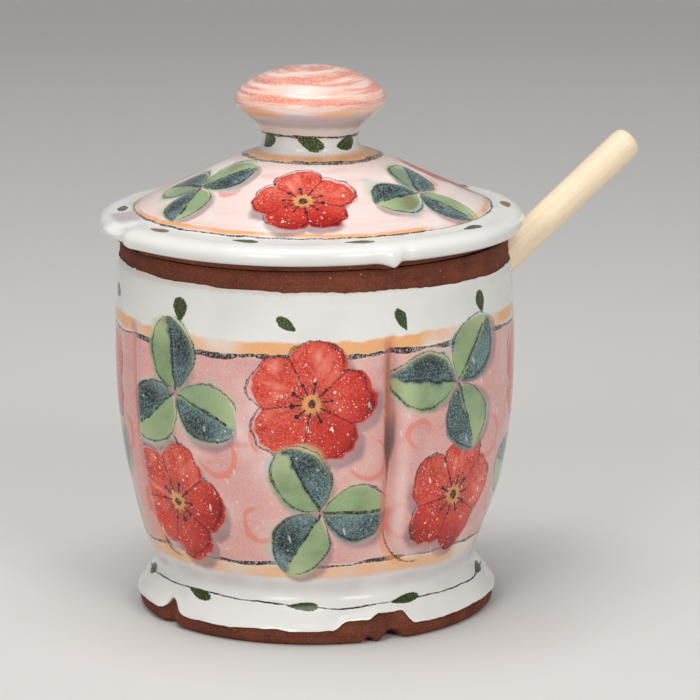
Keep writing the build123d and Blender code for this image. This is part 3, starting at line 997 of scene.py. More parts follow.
@dataclass(frozen=True)
class PaintedLid(PaintedGlaze):
    """Flowers and leaves on a blush dome, a white rim with dabs, and a streaked red cap."""

    name: str = "painted_lid_glaze"
    dome_edge: float = 47.8             # radii of the dome's painted edges
    neck_edge: float = 16.9
    motif_radius: float = 33.0          # at which the motifs' middles lie
    motif_cells: int = 6
    motif_start: float = -118.0         # direction of one of them, in degrees
    flower_size: float = 13.8
    leaf_size: float = 16.0
    rim_middle: float = 51.2            # radius at which the rim's dabs lie
    pinch: float = 173.0                # direction of the pinch, whose valley is painted with shade
    dome_low: float = 106.5             # heights, from the dome's edge to the cap
    neck_low: float = 124.1
    neck_dabs: float = 127.0
    neck_line: float = 128.7
    cap_low: float = 136.1
    neck_radius: float = 13.0

    def paint(self, brush: Brush) -> None:
        """Paint the lid from the dome outwards and up.

        Args:
            brush: The brush that paints it.
        """
        dome = brush.reach.fade(self.dome_edge + 0.6, self.dome_edge - 0.2)
        dome = dome * brush.z.between(self.dome_low, self.neck_low, 1.0)
        self.ground(brush, dome)
        self.motifs(brush, dome)
        self.rim(brush)
        self.knob(brush)

    def ground(self, brush: Brush, dome: Flow) -> None:
        """Paint the blush wash and the lines round the dome.

        Args:
            brush: The brush that paints it.
            dome: Mask of the dome.
        """
        mix, reach = brush.mix, brush.reach
        streaks = mix.cloud(1.0, 3.0, mix.circling(brush.turn, 1.6, reach * 0.22))
        blush = mix.layers(
            Tint.BLUSH,
            (Tint.WHITE, mix.cloud(14.0, 3.0, seed=21.0).fade(0.5, 0.75)),
            (Tint.PINK, streaks.fade(0.5, 0.75) * 0.4))
        brush.lay(blush, dome * 0.9)
        loose = reach + (mix.cloud(30.0, 1.0, seed=22.0) - 0.5) * 3.0 + brush.shake * 0.8
        patchy = brush.drift.fade(0.3, 0.5) * 0.7 + 0.2
        stripe = loose.between(self.dome_edge - 1.7, self.dome_edge - 0.4, 0.6)
        brush.lay(Tint.ORANGE, stripe * patchy * dome)
        edge = (reach + brush.shake * 0.7).line(self.dome_edge, brush.thickness(0.1, 0.5), 0.25)
        brush.pencil(edge, 0.26)
        ring = loose.between(12.0, self.neck_edge + 0.8, 0.7) * dome
        # painted light: the blush stippled into the orange ring pales it where the neck's concave foot falls
        # into shade
        brush.lay(mix.layers(Tint.ORANGE, (Tint.BLUSH, brush.stipple * 0.45)), ring * 0.94)
        dark = (loose + brush.drift * 2.4).line(self.neck_edge + 2.2, brush.thickness(0.5, 1.5), 0.35)
        brush.pencil(dark * dome, 0.2)

    def motifs(self, brush: Brush, dome: Flow) -> None:
        """Paint flowers and leaves by turns round the dome.

        Args:
            brush: The brush that paints it.
            dome: Mask of the dome.
        """
        index, bend, (first, second, third) = brush.cell(self.motif_cells, self.motif_start, 41.0)
        across = brush.reach * bend.through("SINE")
        up = (self.motif_radius - brush.reach * bend.through("COSINE")) * 1.12
        brush.curl(Spot(across - 11.0, up - 5.0), 3.0, 2.0)
        spot = Spot(across + first * 2.0, up + second * 2.0).turned(third * 3.0)
        on_dome = dome * brush.reach.fade(17.5, 19.0)
        odd = index.through("MODULO", 2.0)
        brush.flower(spot, self.flower_size, on_dome * (1 - odd))
        brush.leaf(spot, self.leaf_size, on_dome * odd)

    def rim(self, brush: Brush) -> None:
        """Paint the dabs on the white rim, and painted shade as soft grey in its hollow and its pinch.

        Args:
            brush: The brush that paints it.
        """
        z, reach, edge = brush.z, brush.reach, self.dome_edge
        # painted shade: soft grey in the hollow beside the dome's edge and down the pinch
        hollow = reach.between(edge, edge + 2.4, 1.6) * z.fade(106.0, 107.0)
        brush.lay(Tint.SHADE, hollow * brush.drift.fade(0.5, 0.7) * 0.4)
        beside = (brush.turn - math.radians(self.pinch)) * edge
        valley_tint_and_shade = beside.between(-8.0, 4.0, 4.0) * reach.between(edge, edge + 6.5, 2.0)
        brush.lay(Tint.SHADE, valley_tint_and_shade * z.fade(105.0, 106.5) * (brush.stipple * 0.2 + 0.55))
        _, bend, (first, second, third) = brush.cell(10, 12.0, 51.0)
        across = bend * self.rim_middle + first * 8.0
        spot = Spot(across, reach - self.rim_middle + second + across * third * 0.2)
        brush.dab(spot, 3.8, 1.4, brush.mix.layers(Tint.LEAF, (Tint.UMBER, third.fade(0.05, 0.1))))

    def knob(self, brush: Brush) -> None:
        """Paint the knob: dabs and a line on the neck, painted shade under the cap and low on the neck, and a
        streaked cap.

        Args:
            brush: The brush that paints it.
        """
        z = brush.z
        knob = brush.reach.fade(23.0, 22.0)
        tilt = brush.turn.through("COSINE") * 0.5 + brush.shake * 0.5
        brush.lay(Tint.THIN, z.between(self.neck_line, 133.0, 1.0) * knob * 0.35)
        # painted shade: grey under the cap's overhang
        shade_under_cap = (z + tilt * 1.6).between(131.2, 135.4, 1.2) * knob
        brush.lay(Tint.SHADE, shade_under_cap * (brush.grain * 0.3 + 0.5))
        # painted shade: grey low on the neck, below its line
        brush.lay(Tint.SHADE, z.between(self.neck_low, self.neck_line, 1.0) * knob * brush.drift * 0.4)
        brush.pencil((z + tilt).line(self.neck_line, brush.thickness(0.2, 0.7), 0.3) * knob, 0.26)
        _, bend, (first, second, third) = brush.cell(7, self.motif_start, 61.0)
        spot = Spot(bend * self.neck_radius + second * 2.0, z - self.neck_dabs + first * 0.8)
        green = brush.mix.layers(Tint.LEAF, (Tint.OLIVE, (third + 0.5) * brush.stipple * 0.4))
        brush.dab(spot.turned(second * 1.2), 3.6, 1.8, green)
        self.cap(brush, knob)

    def cap(self, brush: Brush, knob: Flow) -> None:
        """Paint the cap's red and orange strokes, which run round it.

        Args:
            brush: The brush that paints it.
            knob: Mask of the knob.
        """
        mix, z, low = brush.mix, brush.z, self.cap_low
        top = (z + brush.shake * 0.8 + brush.sway * 2.0).fade(low, low + 0.8) * knob
        below = (z + brush.shake).between(low - 1.2, low + 0.8, 0.5)
        long = mix.cloud(1.0, 1.0, mix.circling(brush.turn, 0.9, 3.0)).fade(0.42, 0.6)
        brush.lay(Tint.ORANGE, below * long * knob * 0.8)
        down = brush.reach - z + (mix.cloud(18.0, 1.0, seed=64.0) - 0.5) * 7.0
        broad = mix.cloud(1.0, 2.0, mix.circling(brush.turn, 0.7, down * 0.3))
        hairs = mix.cloud(1.0, 2.0, mix.circling(brush.turn, 1.6, down * 1.5))
        stroke = broad * 0.72 + hairs * 0.28
        red = mix.layers(
            Tint.BLUSH,
            (Tint.PEACH, stroke.fade(0.4, 0.54) * 0.8),
            (Tint.CORAL, stroke.fade(0.47, 0.6) * 0.85),
            (Tint.SCARLET, stroke.fade(0.54, 0.68) * 0.5),
            (Tint.ORANGE, brush.drift.fade(0.5, 0.64) * 0.25),
            (Tint.BLUSH, brush.stipple * 0.34))
        brush.lay(red, top * (brush.grain * 0.2 + 0.8))
        brush.lay(Tint.WHITE, top * brush.specks * 0.6)


# ====================================================================== the pieces
class Body(Enum):
    """The bodies that the pieces ride on."""

    POT = "pot"
    LID = "lid"
    DIPPER = "dipper"


def dress(piece: bpy.types.Object, material: bpy.types.Material, slot: str, body: Body, node: str) -> None:
    """Give a piece its finish and its place in the frame.

    Args:
        piece: The piece.
        material: Its finish.
        slot: The material slot that the finish belongs to; not used.
        body: The body that it rides on.
        node: The node that it replaces.
    """
    piece.data.materials.clear()
    piece.data.materials.append(material)
    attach(piece, body.value)
    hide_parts(node)
    log.info("%s rides on %s, %d faces", piece.name, body.value, len(piece.data.polygons))


@dataclass
class ThrownPot:
    """The pot: clay, glaze outside and glaze inside, thrown and then pressed by hand."""

    height: float = 100.0
    glaze: float = 0.5
    wall: float = 6.0
    floor: float = 8.0
    recess: float = 1.5                 # depth of the hollow under the foot
    recess_radius: float = 39.0
    belly: float = 50.0                 # radius at which arcs on the belly are measured
    foot: float = 48.0                  # and round the foot
    coat_low: float = 3.8               # heights of the outer coat's edges
    coat_high: float = 95.3
    coat_slant: float = 1.1             # how much higher its upper edge is on one side
    coat_slant_to: float = 157.5        # direction of that side, in degrees
    liner_high: float = 97.5
    lean_to: float = FRONT              # direction in which the waist is drawn in
    crease_depth: float = 3.2
    crease_low: tuple[float, float] = (17.0, 31.0)      # heights over which a crease deepens
    crease_high: tuple[float, float] = (85.0, 75.0)     # and over which it dies away
    crease_reach: float = 24.0
    creases: tuple[float, ...] = CREASES
    nicks: tuple[float, ...] = (-8.0, 98.0, 190.9, 272.6)       # directions, in degrees
    worn: int = 3                       # which nick is worn down to the clay
    slot_width: float = 11.6
    slot_bottom: float = 75.7
    slot_span: tuple[float, float] = (38.0, 62.0)       # radii between which the slot is cut
    slot_tall: float = 40.0
    bare_round_slot: float = 0.9
    steps: int = 320                    # faces round the axis
    liner_steps: int = 192
    sharp: float = 50.0                 # angle past which an edge isn't smoothed, in degrees

    def __post_init__(self) -> None:
        """Draw the outside of the wall: the glaze's face, and the clay's under it."""
        outside = drawn([
            (47.7, 0.0), (48.2, 1.6), (48.7, 3.6), (48.35, 5.2), (46.7, 8.1), (44.5, 10.6),
            (43.5, 12.8), (43.9, 15.6), (45.4, 19.8), (48.0, 27.9), (49.8, 34.7), (51.7, 44.8),
            (52.85, 55.0), (53.35, 66.0), (53.2, 80.0), (52.6, 90.0), (52.1, 100.0)], 0.5)
        self.levels = [point.y for point in outside]
        self.radii = [point.x - self.glaze for point in outside]

    def clay_radius(self, z: float) -> float:
        """Find the clay's outer face.

        Args:
            z: Height.

        Returns:
            Its radius there.
        """
        z = min(self.levels[-1], max(0.0, z))
        i = min(len(self.levels) - 2, max(0, bisect_right(self.levels, z) - 1))
        share = (z - self.levels[i]) / (self.levels[i + 1] - self.levels[i])
        return self.radii[i] + (self.radii[i + 1] - self.radii[i]) * share

    def lobe(self, away: float, z: float) -> float:
        """Measure how far a place lies inside the pillow to the right of a crease.

        Args:
            away: Arc to the right of the crease.
            z: Height.

        Returns:
            Distance to the pillow's edge, which turns to the right in a round corner at its
            foot; negative outside.
        """
        across, below = LOBE_ROUND - away, LOBE_LOW + LOBE_ROUND - z
        if below <= 0:
            return away
        return LOBE_ROUND - (math.hypot(across, below) if across > 0 else below)

    def crease(self, angle: float, z: float) -> float:
        """Press the creases into the wall, which swells beside them.

        Args:
            angle: The direction, in radians.
            z: Height.

        Returns:
            How far they move the wall outwards; negative is inwards.
        """
        depth = self.crease_depth * fade(*self.crease_low, z) * fade(*self.crease_high, z)
        if depth < 0.01:
            return 0.0
        move = 0.0
        for base in self.creases:
            away = arc_from(angle, base, self.belly)
            if abs(away) < self.crease_reach:
                room = self.lobe(away, z)
                near = depth * fade(12, 4, away)
                move -= near * bump(room, 2.9 if room < 0 else 1.1, 1.5)
                move += near * 0.36 * bump(room - 5.0, 3.4)
        return move

    def nick(self, angle: float) -> tuple[float, float, float]:
        """Give what the nicks in the foot do in a direction.

        Args:
            angle: The direction, in radians.

        Returns:
            How far they press the foot in, raise its bare underside, and bare it of glaze.
        """
        press = lift = bare = 0.0
        for i, centre in enumerate(self.nicks):
            away = arc_from(angle, centre, self.foot)
            press += 2.0 * bump(away, 2.5)
            if i == self.worn:
                lift += 2.4 * bump(away, 2.7, 3.0) + 1.3 * bump(away + 7.1, 1.4, 3.0)
                bare += 2.1 * fade(-17.0, -13.0, away) * fade(5.6, 3.4, away)
                bare += 1.3 * fade(-7.4, -4.0, away) * fade(5.0, 2.6, away)
            else:
                lift += 0.9 * bump(away - 2.0, 2.2)
                bare += 3.3 * bump(away - 0.8, 2.1 if away < 0.8 else 4.2, 2.8)
        return press, lift, bare

    def hand(self, angle: float, z: float) -> float:
        """Follow the thrower's hand over the outer wall.

        Args:
            angle: The direction, in radians.
            z: Height.

        Returns:
            How far it has moved the wall outwards; negative is inwards.
        """
        move = 0.25 * math.cos(2 * angle + 0.8) + 0.16 * math.sin(3 * angle + z * 0.03)
        move += self.crease(angle, z)
        if z < 9.5:
            move -= self.nick(angle)[0] * fade(9.5, 3.0, z)
        if z < 34:
            lean = math.cos(angle - math.radians(self.lean_to))
            move -= 0.75 * lean * fade(11, 18, z) * fade(34, 20, z)
            move -= 0.9 * fade(1.5, 6, z) * fade(18, 11, z)
        if z > 88:
            move += 0.06 * math.sin(z * 2.7 + 2.0 * math.sin(angle)) * fade(88, 94, z)
        return move

    def warped(self, point: Vector) -> tuple[float, float, float]:
        """Give a spun point's direction, radius and height, with points drawn to the creases."""
        angle = math.atan2(point.y, point.x)
        return angle - 0.2 * math.sin(4 * angle), math.hypot(point.x, point.y), point.z

    def edge_shift(self, angle: float, z: float) -> float:
        """Wave the coat's lower and upper edges.

        Args:
            angle: The direction, in radians.
            z: Height.

        Returns:
            How far they move a point up; negative is down.
        """
        swirl = Vector((math.cos(angle), math.sin(angle), 0.0)) * 2.2
        if z < self.coat_low + 7:
            drip = noise.noise(swirl * 1.4) * 0.5 + noise.noise(swirl * 5.0) * 0.25
            drip += noise.noise(swirl * 20.0) * 0.16 + self.nick(angle)[2]
            return drip * fade(self.coat_low + 7, self.coat_low, z)
        if z > self.coat_high - 6:
            feather = noise.noise(swirl * 2.0 + Vector((0, 0, 7))) * 0.5 + noise.noise(swirl * 18.0) * 0.3
            slant = self.coat_slant * math.cos(angle - math.radians(self.coat_slant_to))
            return (feather + slant) * fade(self.coat_high - 6, self.coat_high, z)
        return 0.0

    def coat_point(self, point: Vector) -> Vector:
        """Place a point of the outer coat, whose edges wave and which follows the wall.

        Args:
            point: The point as it was spun.

        Returns:
            Its new place.
        """
        angle, radius, z = self.warped(point)
        depth = radius - self.clay_radius(z)
        z += self.edge_shift(angle, z)
        radius = self.clay_radius(z) + depth + self.hand(angle, z)
        return Vector((radius * math.cos(angle), radius * math.sin(angle), z))

    def clay_point(self, point: Vector) -> Vector:
        """Place a point of the clay, moving the outer wall and leaving the inside round.

        Args:
            point: The point as it was spun.

        Returns:
            Its new place.
        """
        angle, radius, z = self.warped(point)
        inside = self.clay_radius(z) - self.wall
        share = fade(inside + 0.5, inside + self.wall - 0.5, radius)
        if z < self.floor:
            share = fade(self.recess_radius + 1, self.clay_radius(z) - 1.5, radius)
        if share == 0:
            return Vector((radius * math.cos(angle), radius * math.sin(angle), z))
        lift = self.nick(angle)[1] * fade(3.2, 0.0, z) * share
        radius += self.hand(angle, z) * share
        return Vector((radius * math.cos(angle), radius * math.sin(angle), max(z + lift, 0.0)))

    def levels_of(self, low: float, high: float) -> list[float]:
        """Space the coat's rows, closer where the foot turns.

        Args:
            low: The lowest height.
            high: The highest.

        Returns:
            Their heights.
        """
        rows = [low]
        while rows[-1] < high - 0.9:
            rows.append(rows[-1] + (0.5 if rows[-1] < 34 else 0.9))
        return [*rows, high]

    def coat_section(self) -> Section:
        """Draw the outer coat: fat at its lower edge, thin at its upper.

        Returns:
            The closed section.
        """
        low, high = self.coat_low, self.coat_high
        def thick(z: float) -> float:
            """Thickness of the coat at a height."""
            return self.glaze * (0.5 + 0.5 * fade(high, high - 3, z)) + 0.5 * bump(z - low - 1.0, 1.2)
        outer = [Vector((self.clay_radius(z) + thick(z), z)) for z in self.levels_of(low + 0.5, high - 0.15)]
        inner = [Vector((self.clay_radius(z) - 0.25, z)) for z in self.levels_of(low + 0.4, high - 0.4)[::-2]]
        top = rounded_end(outer[-1], inner[0], -0.15, 3)
        bottom = rounded_end(inner[-1], outer[0], -0.5)
        return [*outer, *top, *inner, *bottom]

    def cavity_line(self, inset: float) -> Section:
        """Draw the inside of the pot from the mouth down to the middle of the floor.

        Args:
            inset: How far it lies inside the clay's face.

        Returns:
            Its points.
        """
        side = [Vector((self.clay_radius(z) - self.wall - inset, z)) for z in range(98, 18, -2)]
        corner = drawn([side[-1], (37.0 - inset, 15.2), (34.2 - inset, 11.0 + inset * 0.6),
                        (28.5, 8.4 + inset), (22.0, self.floor + inset), (0.0, self.floor + inset)], 1.5)
        return [*side[:-1], *corner]

    def clay_section(self) -> Section:
        """Draw the clay: foot, wall, rim and inside.

        Returns:
            The section, which the axis closes.
        """
        foot = drawn([(radius, self.recess) for radius in (0.0, 12.0, 26.0, self.recess_radius)], 4.0)
        ring = drawn([(self.recess_radius + 0.7, 0.0), (43.0, 0.0), (46.2, 0.0), (46.9, 0.35)], 0.9)
        heights = [0.9 + 0.5 * i for i in range(8)] + [5.0, 6.0, 7.0]
        heights += [8.0 + 1.5 * i for i in range(57)]
        heights += [93.5 + 0.35 * i for i in range(16)]
        wall = [Vector((self.clay_radius(z), z)) for z in heights]
        top, high = self.clay_radius(self.height), self.height
        rim = drawn([(top, high + 0.15), (top - 0.3, high + 0.5), (top - 1.0, high + 0.45),
                     (top - 2.0, high), (top - 3.4, high), (top - self.wall + 1.4, high),
                     (top - self.wall + 0.4, high - 0.5)], 0.6)
        return [*foot, *ring, *wall, *rim, *self.cavity_line(0.0)]

    def liner_section(self) -> Section:
        """Draw the glaze inside the pot, from its upper edge down to the floor and back.

        Returns:
            The section, which the axis closes.
        """
        face = [point for point in self.cavity_line(self.glaze) if point.y < self.liner_high]
        back = [point for point in self.cavity_line(-0.2) if point.y < self.liner_high]
        return [*face, *back[::-1]]

    def slot_tool(self, bare: float) -> bpy.types.Object:
        """Make the round-bottomed shape that cuts the dipper's slot.

        Args:
            bare: How much wider than the slot it is all round.

        Returns:
            The closed shape.
        """
        near, far = self.slot_span
        mesh = bmesh.new()
        bmesh.ops.create_circle(mesh, cap_ends=True, segments=32, radius=self.slot_width / 2 + bare)
        upper = [vert for vert in mesh.verts if vert.co.y > 0.01]
        bmesh.ops.translate(mesh, vec=(0, self.slot_tall, 0), verts=upper)
        turn = Matrix.Rotation(math.pi / 2, 4, "Z") @ Matrix.Rotation(math.pi / 2, 4, "X")
        stand = Matrix.Translation((near, 0, self.slot_bottom + self.slot_width / 2)) @ turn
        bmesh.ops.transform(mesh, matrix=stand, verts=mesh.verts)
        made = bmesh.ops.extrude_face_region(mesh, geom=mesh.faces[:])
        moved = [item for item in made["geom"] if isinstance(item, bmesh.types.BMVert)]
        bmesh.ops.translate(mesh, vec=(far - near, 0, 0), verts=moved)
        bmesh.ops.recalc_face_normals(mesh, faces=mesh.faces)
        return finished(mesh, "slot_tool")

    def build(self, clay: BareClay, painted: PaintedPot, plain: PlainGlaze) -> None:
        """Make and dress the three pieces of the pot.

        Args:
            clay: Finish of the bare clay.
            painted: Finish of the outer glaze.
            plain: Finish of the glaze inside.
        """
        body = finished(reshaped(spun(self.clay_section(), self.steps), self.clay_point), "pot_clay")
        coat = finished(reshaped(spun(self.coat_section(), self.steps), self.coat_point), "pot_glaze")
        liner = finished(spun(self.liner_section(), self.liner_steps), "pot_liner")
        for piece, bare, finish, node in (
                (body, 0.0, clay, "pot_body"),
                (coat, self.bare_round_slot, painted, "pot_outer_glaze"),
                (liner, self.bare_round_slot, plain, "pot_liner_glaze")):
            carve(piece, self.slot_tool(bare))
            piece.data.shade_smooth()
            piece.data.set_sharp_from_angle(angle=math.radians(self.sharp))
            dress(piece, finish.material(), finish.slot, Body.POT, node)


@dataclass
class ThrownLid:
    """The lid: clay, knob, and the glaze above and below."""

    glaze: float = 0.5
    seat: float = 100.0                 # height at which the lid sits on the pot
    rim: float = 55.0                   # radius at which arcs on the rim are measured
    ring_inside: float = 41.0           # radius inside the ring that locates the lid
    vault_radius: float = 74.0          # of the sphere that hollows the dome
    vault_centre: float = 43.0          # its height
    knob_joint: float = 122.2           # height at which the knob's clay meets the dome's
    grooves: tuple[float, ...] = (185.0,)               # directions, in degrees
    drops: tuple[float, ...] = (94.0, 269.8)
    settle: tuple[float, float] = (-0.46, 0.19)         # how far off centre the lid has settled
    steps: int = 320                    # faces round the axis
    sharp: float = 60.0                 # angle past which an edge isn't smoothed, in degrees

    def top_line(self, step: float) -> Section:
        """Draw the glazed face from the rim's lower edge over the dome to the crown.

        Args:
            step: Spacing of its points.

        Returns:
            Its points.
        """
        rim = drawn([(53.4, 102.5), (55.6, 102.9), (56.9, 104.6), (56.2, 106.5), (54.0, 107.6),
                     (51.0, 107.9), (47.9, 108.35)], step)
        dome = drawn([(47.8, 108.5), (42.5, 111.2), (32.5, 115.9), (24.5, 119.75), (17.6, 122.7),
                      (14.6, 123.7), (13.1, 124.9), (12.8, 126.4), (12.95, 128.0), (14.2, 130.3),
                      (16.4, 132.4), (18.9, 134.5), (20.0, 136.3), (20.1, 137.9), (18.5, 140.4),
                      (15.7, 142.4), (11.8, 144.2), (8.0, 145.3), (4.2, 145.85), (0.0, 146.0)], step)
        return [*rim, *dome]

    def pinched(self, angle: float) -> tuple[float, float, float]:
        """Give what the pinches in the rim do in a direction.

        Args:
            angle: The direction, in radians.

        Returns:
            How far they move the rim outwards, lower its underside, and hollow its top.
        """
        out = low = hollow = 0.0
        for centre in self.grooves:
            away = arc_from(angle, centre, self.rim)
            out += 0.8 * bump(away + 8.0, 5.5) + 0.5 * bump(away - 4.2, 3.0)
            out -= 1.7 * bump(away, 2.6 if away < 0 else 1.9, 1.6)
            low -= 1.1 * bump(away + 7.0, 6.0, 3.0)
            hollow += 0.9 * bump(away + 3.5, 3.2)
        for centre in self.drops:
            away = arc_from(angle, centre, self.rim)
            out += 0.7 * bump(away + 1.0, 2.2) - 0.7 * bump(away - 3.0, 1.4) - 0.25 * bump(away + 5.0, 1.8)
            low += 1.2 * bump(away, 2.2 if away < 0 else 1.3, 1.5)
        return out, low, hollow

    def hand(self, point: Vector) -> Vector:
        """Place a point of the lid as a hand-made one has it.

        Args:
            point: The point as it was spun.

        Returns:
            Its new place.
        """
        angle = math.atan2(point.y, point.x)
        angle -= 0.2 * math.sin(4 * (angle + math.radians(5.0)))
        radius, z = math.hypot(point.x, point.y), point.z
        rim = fade(47.0, 53.0, radius) * fade(112, 109, z)
        if rim > 0:
            under = fade(107.5, 103.5, z)
            out, low, hollow = self.pinched(angle)
            swirl = Vector((math.cos(angle), math.sin(angle), radius * 0.03)) * 1.6
            sway = noise.noise(swirl) * 0.5 + 0.15 * math.cos(3 * angle)
            radius += rim * (out * (0.55 + 0.45 * under) + sway)
            z -= rim * (low * under * (0.4 + 0.6 * fade(101.6, 102.6, z)) + hollow * (1 - under))
            z += rim * fade(101.2, 103.0, z) * noise.noise(swirl + Vector((3, 1, 0))) * 0.4
        x = radius * math.cos(angle) + self.settle[0]
        return Vector((x, radius * math.sin(angle) + self.settle[1], z))

    def coat_section(self) -> Section:
        """Draw the coat over the rim, dome and knob.

        Returns:
            The section, which the axis closes.
        """
        outer = self.top_line(0.8)
        inner = shifted(self.top_line(1.6), self.glaze + 0.2)[::-1]
        edge = rounded_end(inner[-1], outer[0], -0.35, 4)
        return [*outer, *inner, *edge]

    def vault_line(self, inset: float) -> Section:
        """Draw the hollow under the dome from its crown to the locating ring's foot.

        Args:
            inset: How far it lies below the clay's face.

        Returns:
            Its points.
        """
        radius = self.vault_radius - inset
        arc = [(self.ring_inside - inset) * i / 14 for i in range(15)]
        return [Vector((r, self.vault_centre + math.sqrt(radius**2 - r**2))) for r in arc]

    def clay_section(self) -> Section:
        """Draw the clay of the lid without its knob.

        Returns:
            The section, which the axis closes.
        """
        inside, seat, joint = self.ring_inside, self.seat, self.knob_joint
        ring = drawn([(inside, 103.0), (inside, 98.0), (inside, 94.2), (41.6, 93.2), (42.7, 92.95),
                      (43.8, 93.2), (44.3, 94.2), (44.4, 97.5)], 0.8)
        face = drawn([(44.4, seat - 0.6), (45.2, seat), (47.5, seat), (49.4, seat + 0.05)], 0.8)
        strip = drawn([(50.4, 100.7), (51.5, 100.9), (52.2, 101.5), (53.2, 102.3)], 0.5)
        top = shifted(self.top_line(1.2), self.glaze)
        dome = [point for point in top if point.y < joint + 0.1 and point.x > 18]
        cut = [Vector((10.0, joint)), Vector((0.0, joint))]
        return [*self.vault_line(0.0), *ring, *face, *strip, *dome, *cut]

    def knob_section(self) -> Section:
        """Draw the clay of the knob.

        Returns:
            The section, which the axis closes.
        """
        top = shifted(self.top_line(1.2), self.glaze)
        skirt = [point for point in top if point.y >= self.knob_joint + 0.1]
        return [Vector((0.0, self.knob_joint + 0.01)), Vector((10.0, self.knob_joint + 0.01)), *skirt]

    def liner_section(self) -> Section:
        """Draw the glaze in the hollow under the dome.

        Returns:
            The section, which the axis closes.
        """
        face = [*self.vault_line(self.glaze), Vector((40.5, 101.0)), Vector((40.5, 98.0))]
        back = [*self.vault_line(-0.2), Vector((41.2, 101.0)), Vector((41.2, 97.6))][::-1]
        edge = rounded_end(face[-1], back[0], -0.3, 3)
        return [*face, *edge, *back]

    def build(self, clay: BareClay, painted: PaintedLid, plain: PlainGlaze) -> None:
        """Make and dress the four pieces of the lid.

        Args:
            clay: Finish of the bare clay.
            painted: Finish of the outer glaze.
            plain: Finish of the glaze inside.
        """
        bare = clay.material()
        pieces = (
            ("lid_clay", self.clay_section(), bare, clay.slot, "lid_body"),
            ("lid_knob_clay", self.knob_section(), bare, clay.slot, "lid_knob"),
            ("lid_top_glaze", self.coat_section(), painted.material(), painted.slot, "lid_glaze"),
            ("lid_liner", self.liner_section(), plain.material(), plain.slot, "lid_liner_glaze"),
        )
        for name, section, material, slot, node in pieces:
            piece = finished(reshaped(spun(section, self.steps), self.hand), name)
            piece.data.set_sharp_from_angle(angle=math.radians(self.sharp))
            dress(piece, material, slot, Body.LID, node)


@dataclass
class TurnedDipper:
    """The dipper: a grooved head and a plain handle, turned from one stick."""

    length: float = 164.6
    radius: float = 4.35                # of the handle
    slope: float = 0.789                # rise over run
    axis_height: float = 44.7           # height at which it crosses the pot's axis
    tip_reach: float = 95.2             # how far the tip stands out from that axis
    head_length: float = 36.0
    head_radius: float = 13.9
    head_end_radius: float = 10.5
    core: float = 6.0                   # radius at the bottom of a groove
    ridges: int = 6
    ridge_width: float = 3.4
    steps: int = 96                     # faces round the axis
    sharp: float = 60.0                 # angle past which an edge isn't smoothed, in degrees

    @property
    def lean(self) -> float:
        """Angle of the dipper above the X axis, in radians."""
        return math.atan(self.slope)

    def ridge_radius(self, along: float) -> float:
        """Radius of the barrel-shaped head at a distance from its end."""
        middle = self.head_length / 2
        return self.head_radius - (self.head_radius - self.head_end_radius) * ((along - middle) / middle) ** 2

    def section(self) -> Section:
        """Draw the dipper along its own axis, from the head's end to the tip.

        Returns:
            The section, which the axis closes.
        """
        pitch = (self.head_length - self.ridge_width) / (self.ridges - 1)
        gap = pitch - self.ridge_width
        line = drawn([(0.0, 0.0), (4.0, 0.0), (7.5, 0.1)], 2.0)
        for i in range(self.ridges):
            low = i * pitch
            high = low + self.ridge_width
            top = self.ridge_radius(low + self.ridge_width / 2)
            ridge = [(top - 1.6, low + 0.05), (top - 0.5, low + 0.6), (top, low + self.ridge_width / 2),
                     (top - 0.5, high - 0.6), (top - 1.6, high - 0.05)]
            line += drawn(ridge, 0.4)
            if i < self.ridges - 1:
                groove = [(self.core + 1.0, high), (self.core, high + gap / 2), (self.core + 1.0, high + gap)]
                line += drawn(groove, 0.5)
        end = self.head_length
        line += drawn([(7.4, end), (5.4, end + 0.2), (self.radius, end + 1.6)], 0.7)
        shaft = [(self.radius, end + 4.0 + 2.0 * i) for i in range(60)]
        line += [Vector(point) for point in shaft if point[1] < self.length - 4.0]
        line += drawn([(self.radius, self.length - 3.0), (self.radius - 0.25, self.length - 1.4),
                       (self.radius - 1.1, self.length - 0.35), (self.radius - 2.4, self.length),
                       (0.0, self.length)], 0.4)
        return line

    def build(self, wood: PaleWood) -> None:
        """Make and dress the dipper.

        Args:
            wood: Its finish.
        """
        mesh = spun(self.section(), self.steps)
        head_end = self.tip_reach / math.cos(self.lean) - self.length
        turn = Matrix.Rotation(math.pi / 2 - self.lean, 4, "Y")
        stand = Matrix.Translation((0, 0, self.axis_height)) @ turn @ Matrix.Translation((0, 0, head_end))
        bmesh.ops.transform(mesh, matrix=stand, verts=mesh.verts)
        piece = finished(mesh, "dipper_wood")
        piece.data.set_sharp_from_angle(angle=math.radians(self.sharp))
        dress(piece, wood.material(self.lean), wood.slot, Body.DIPPER, "dipper")


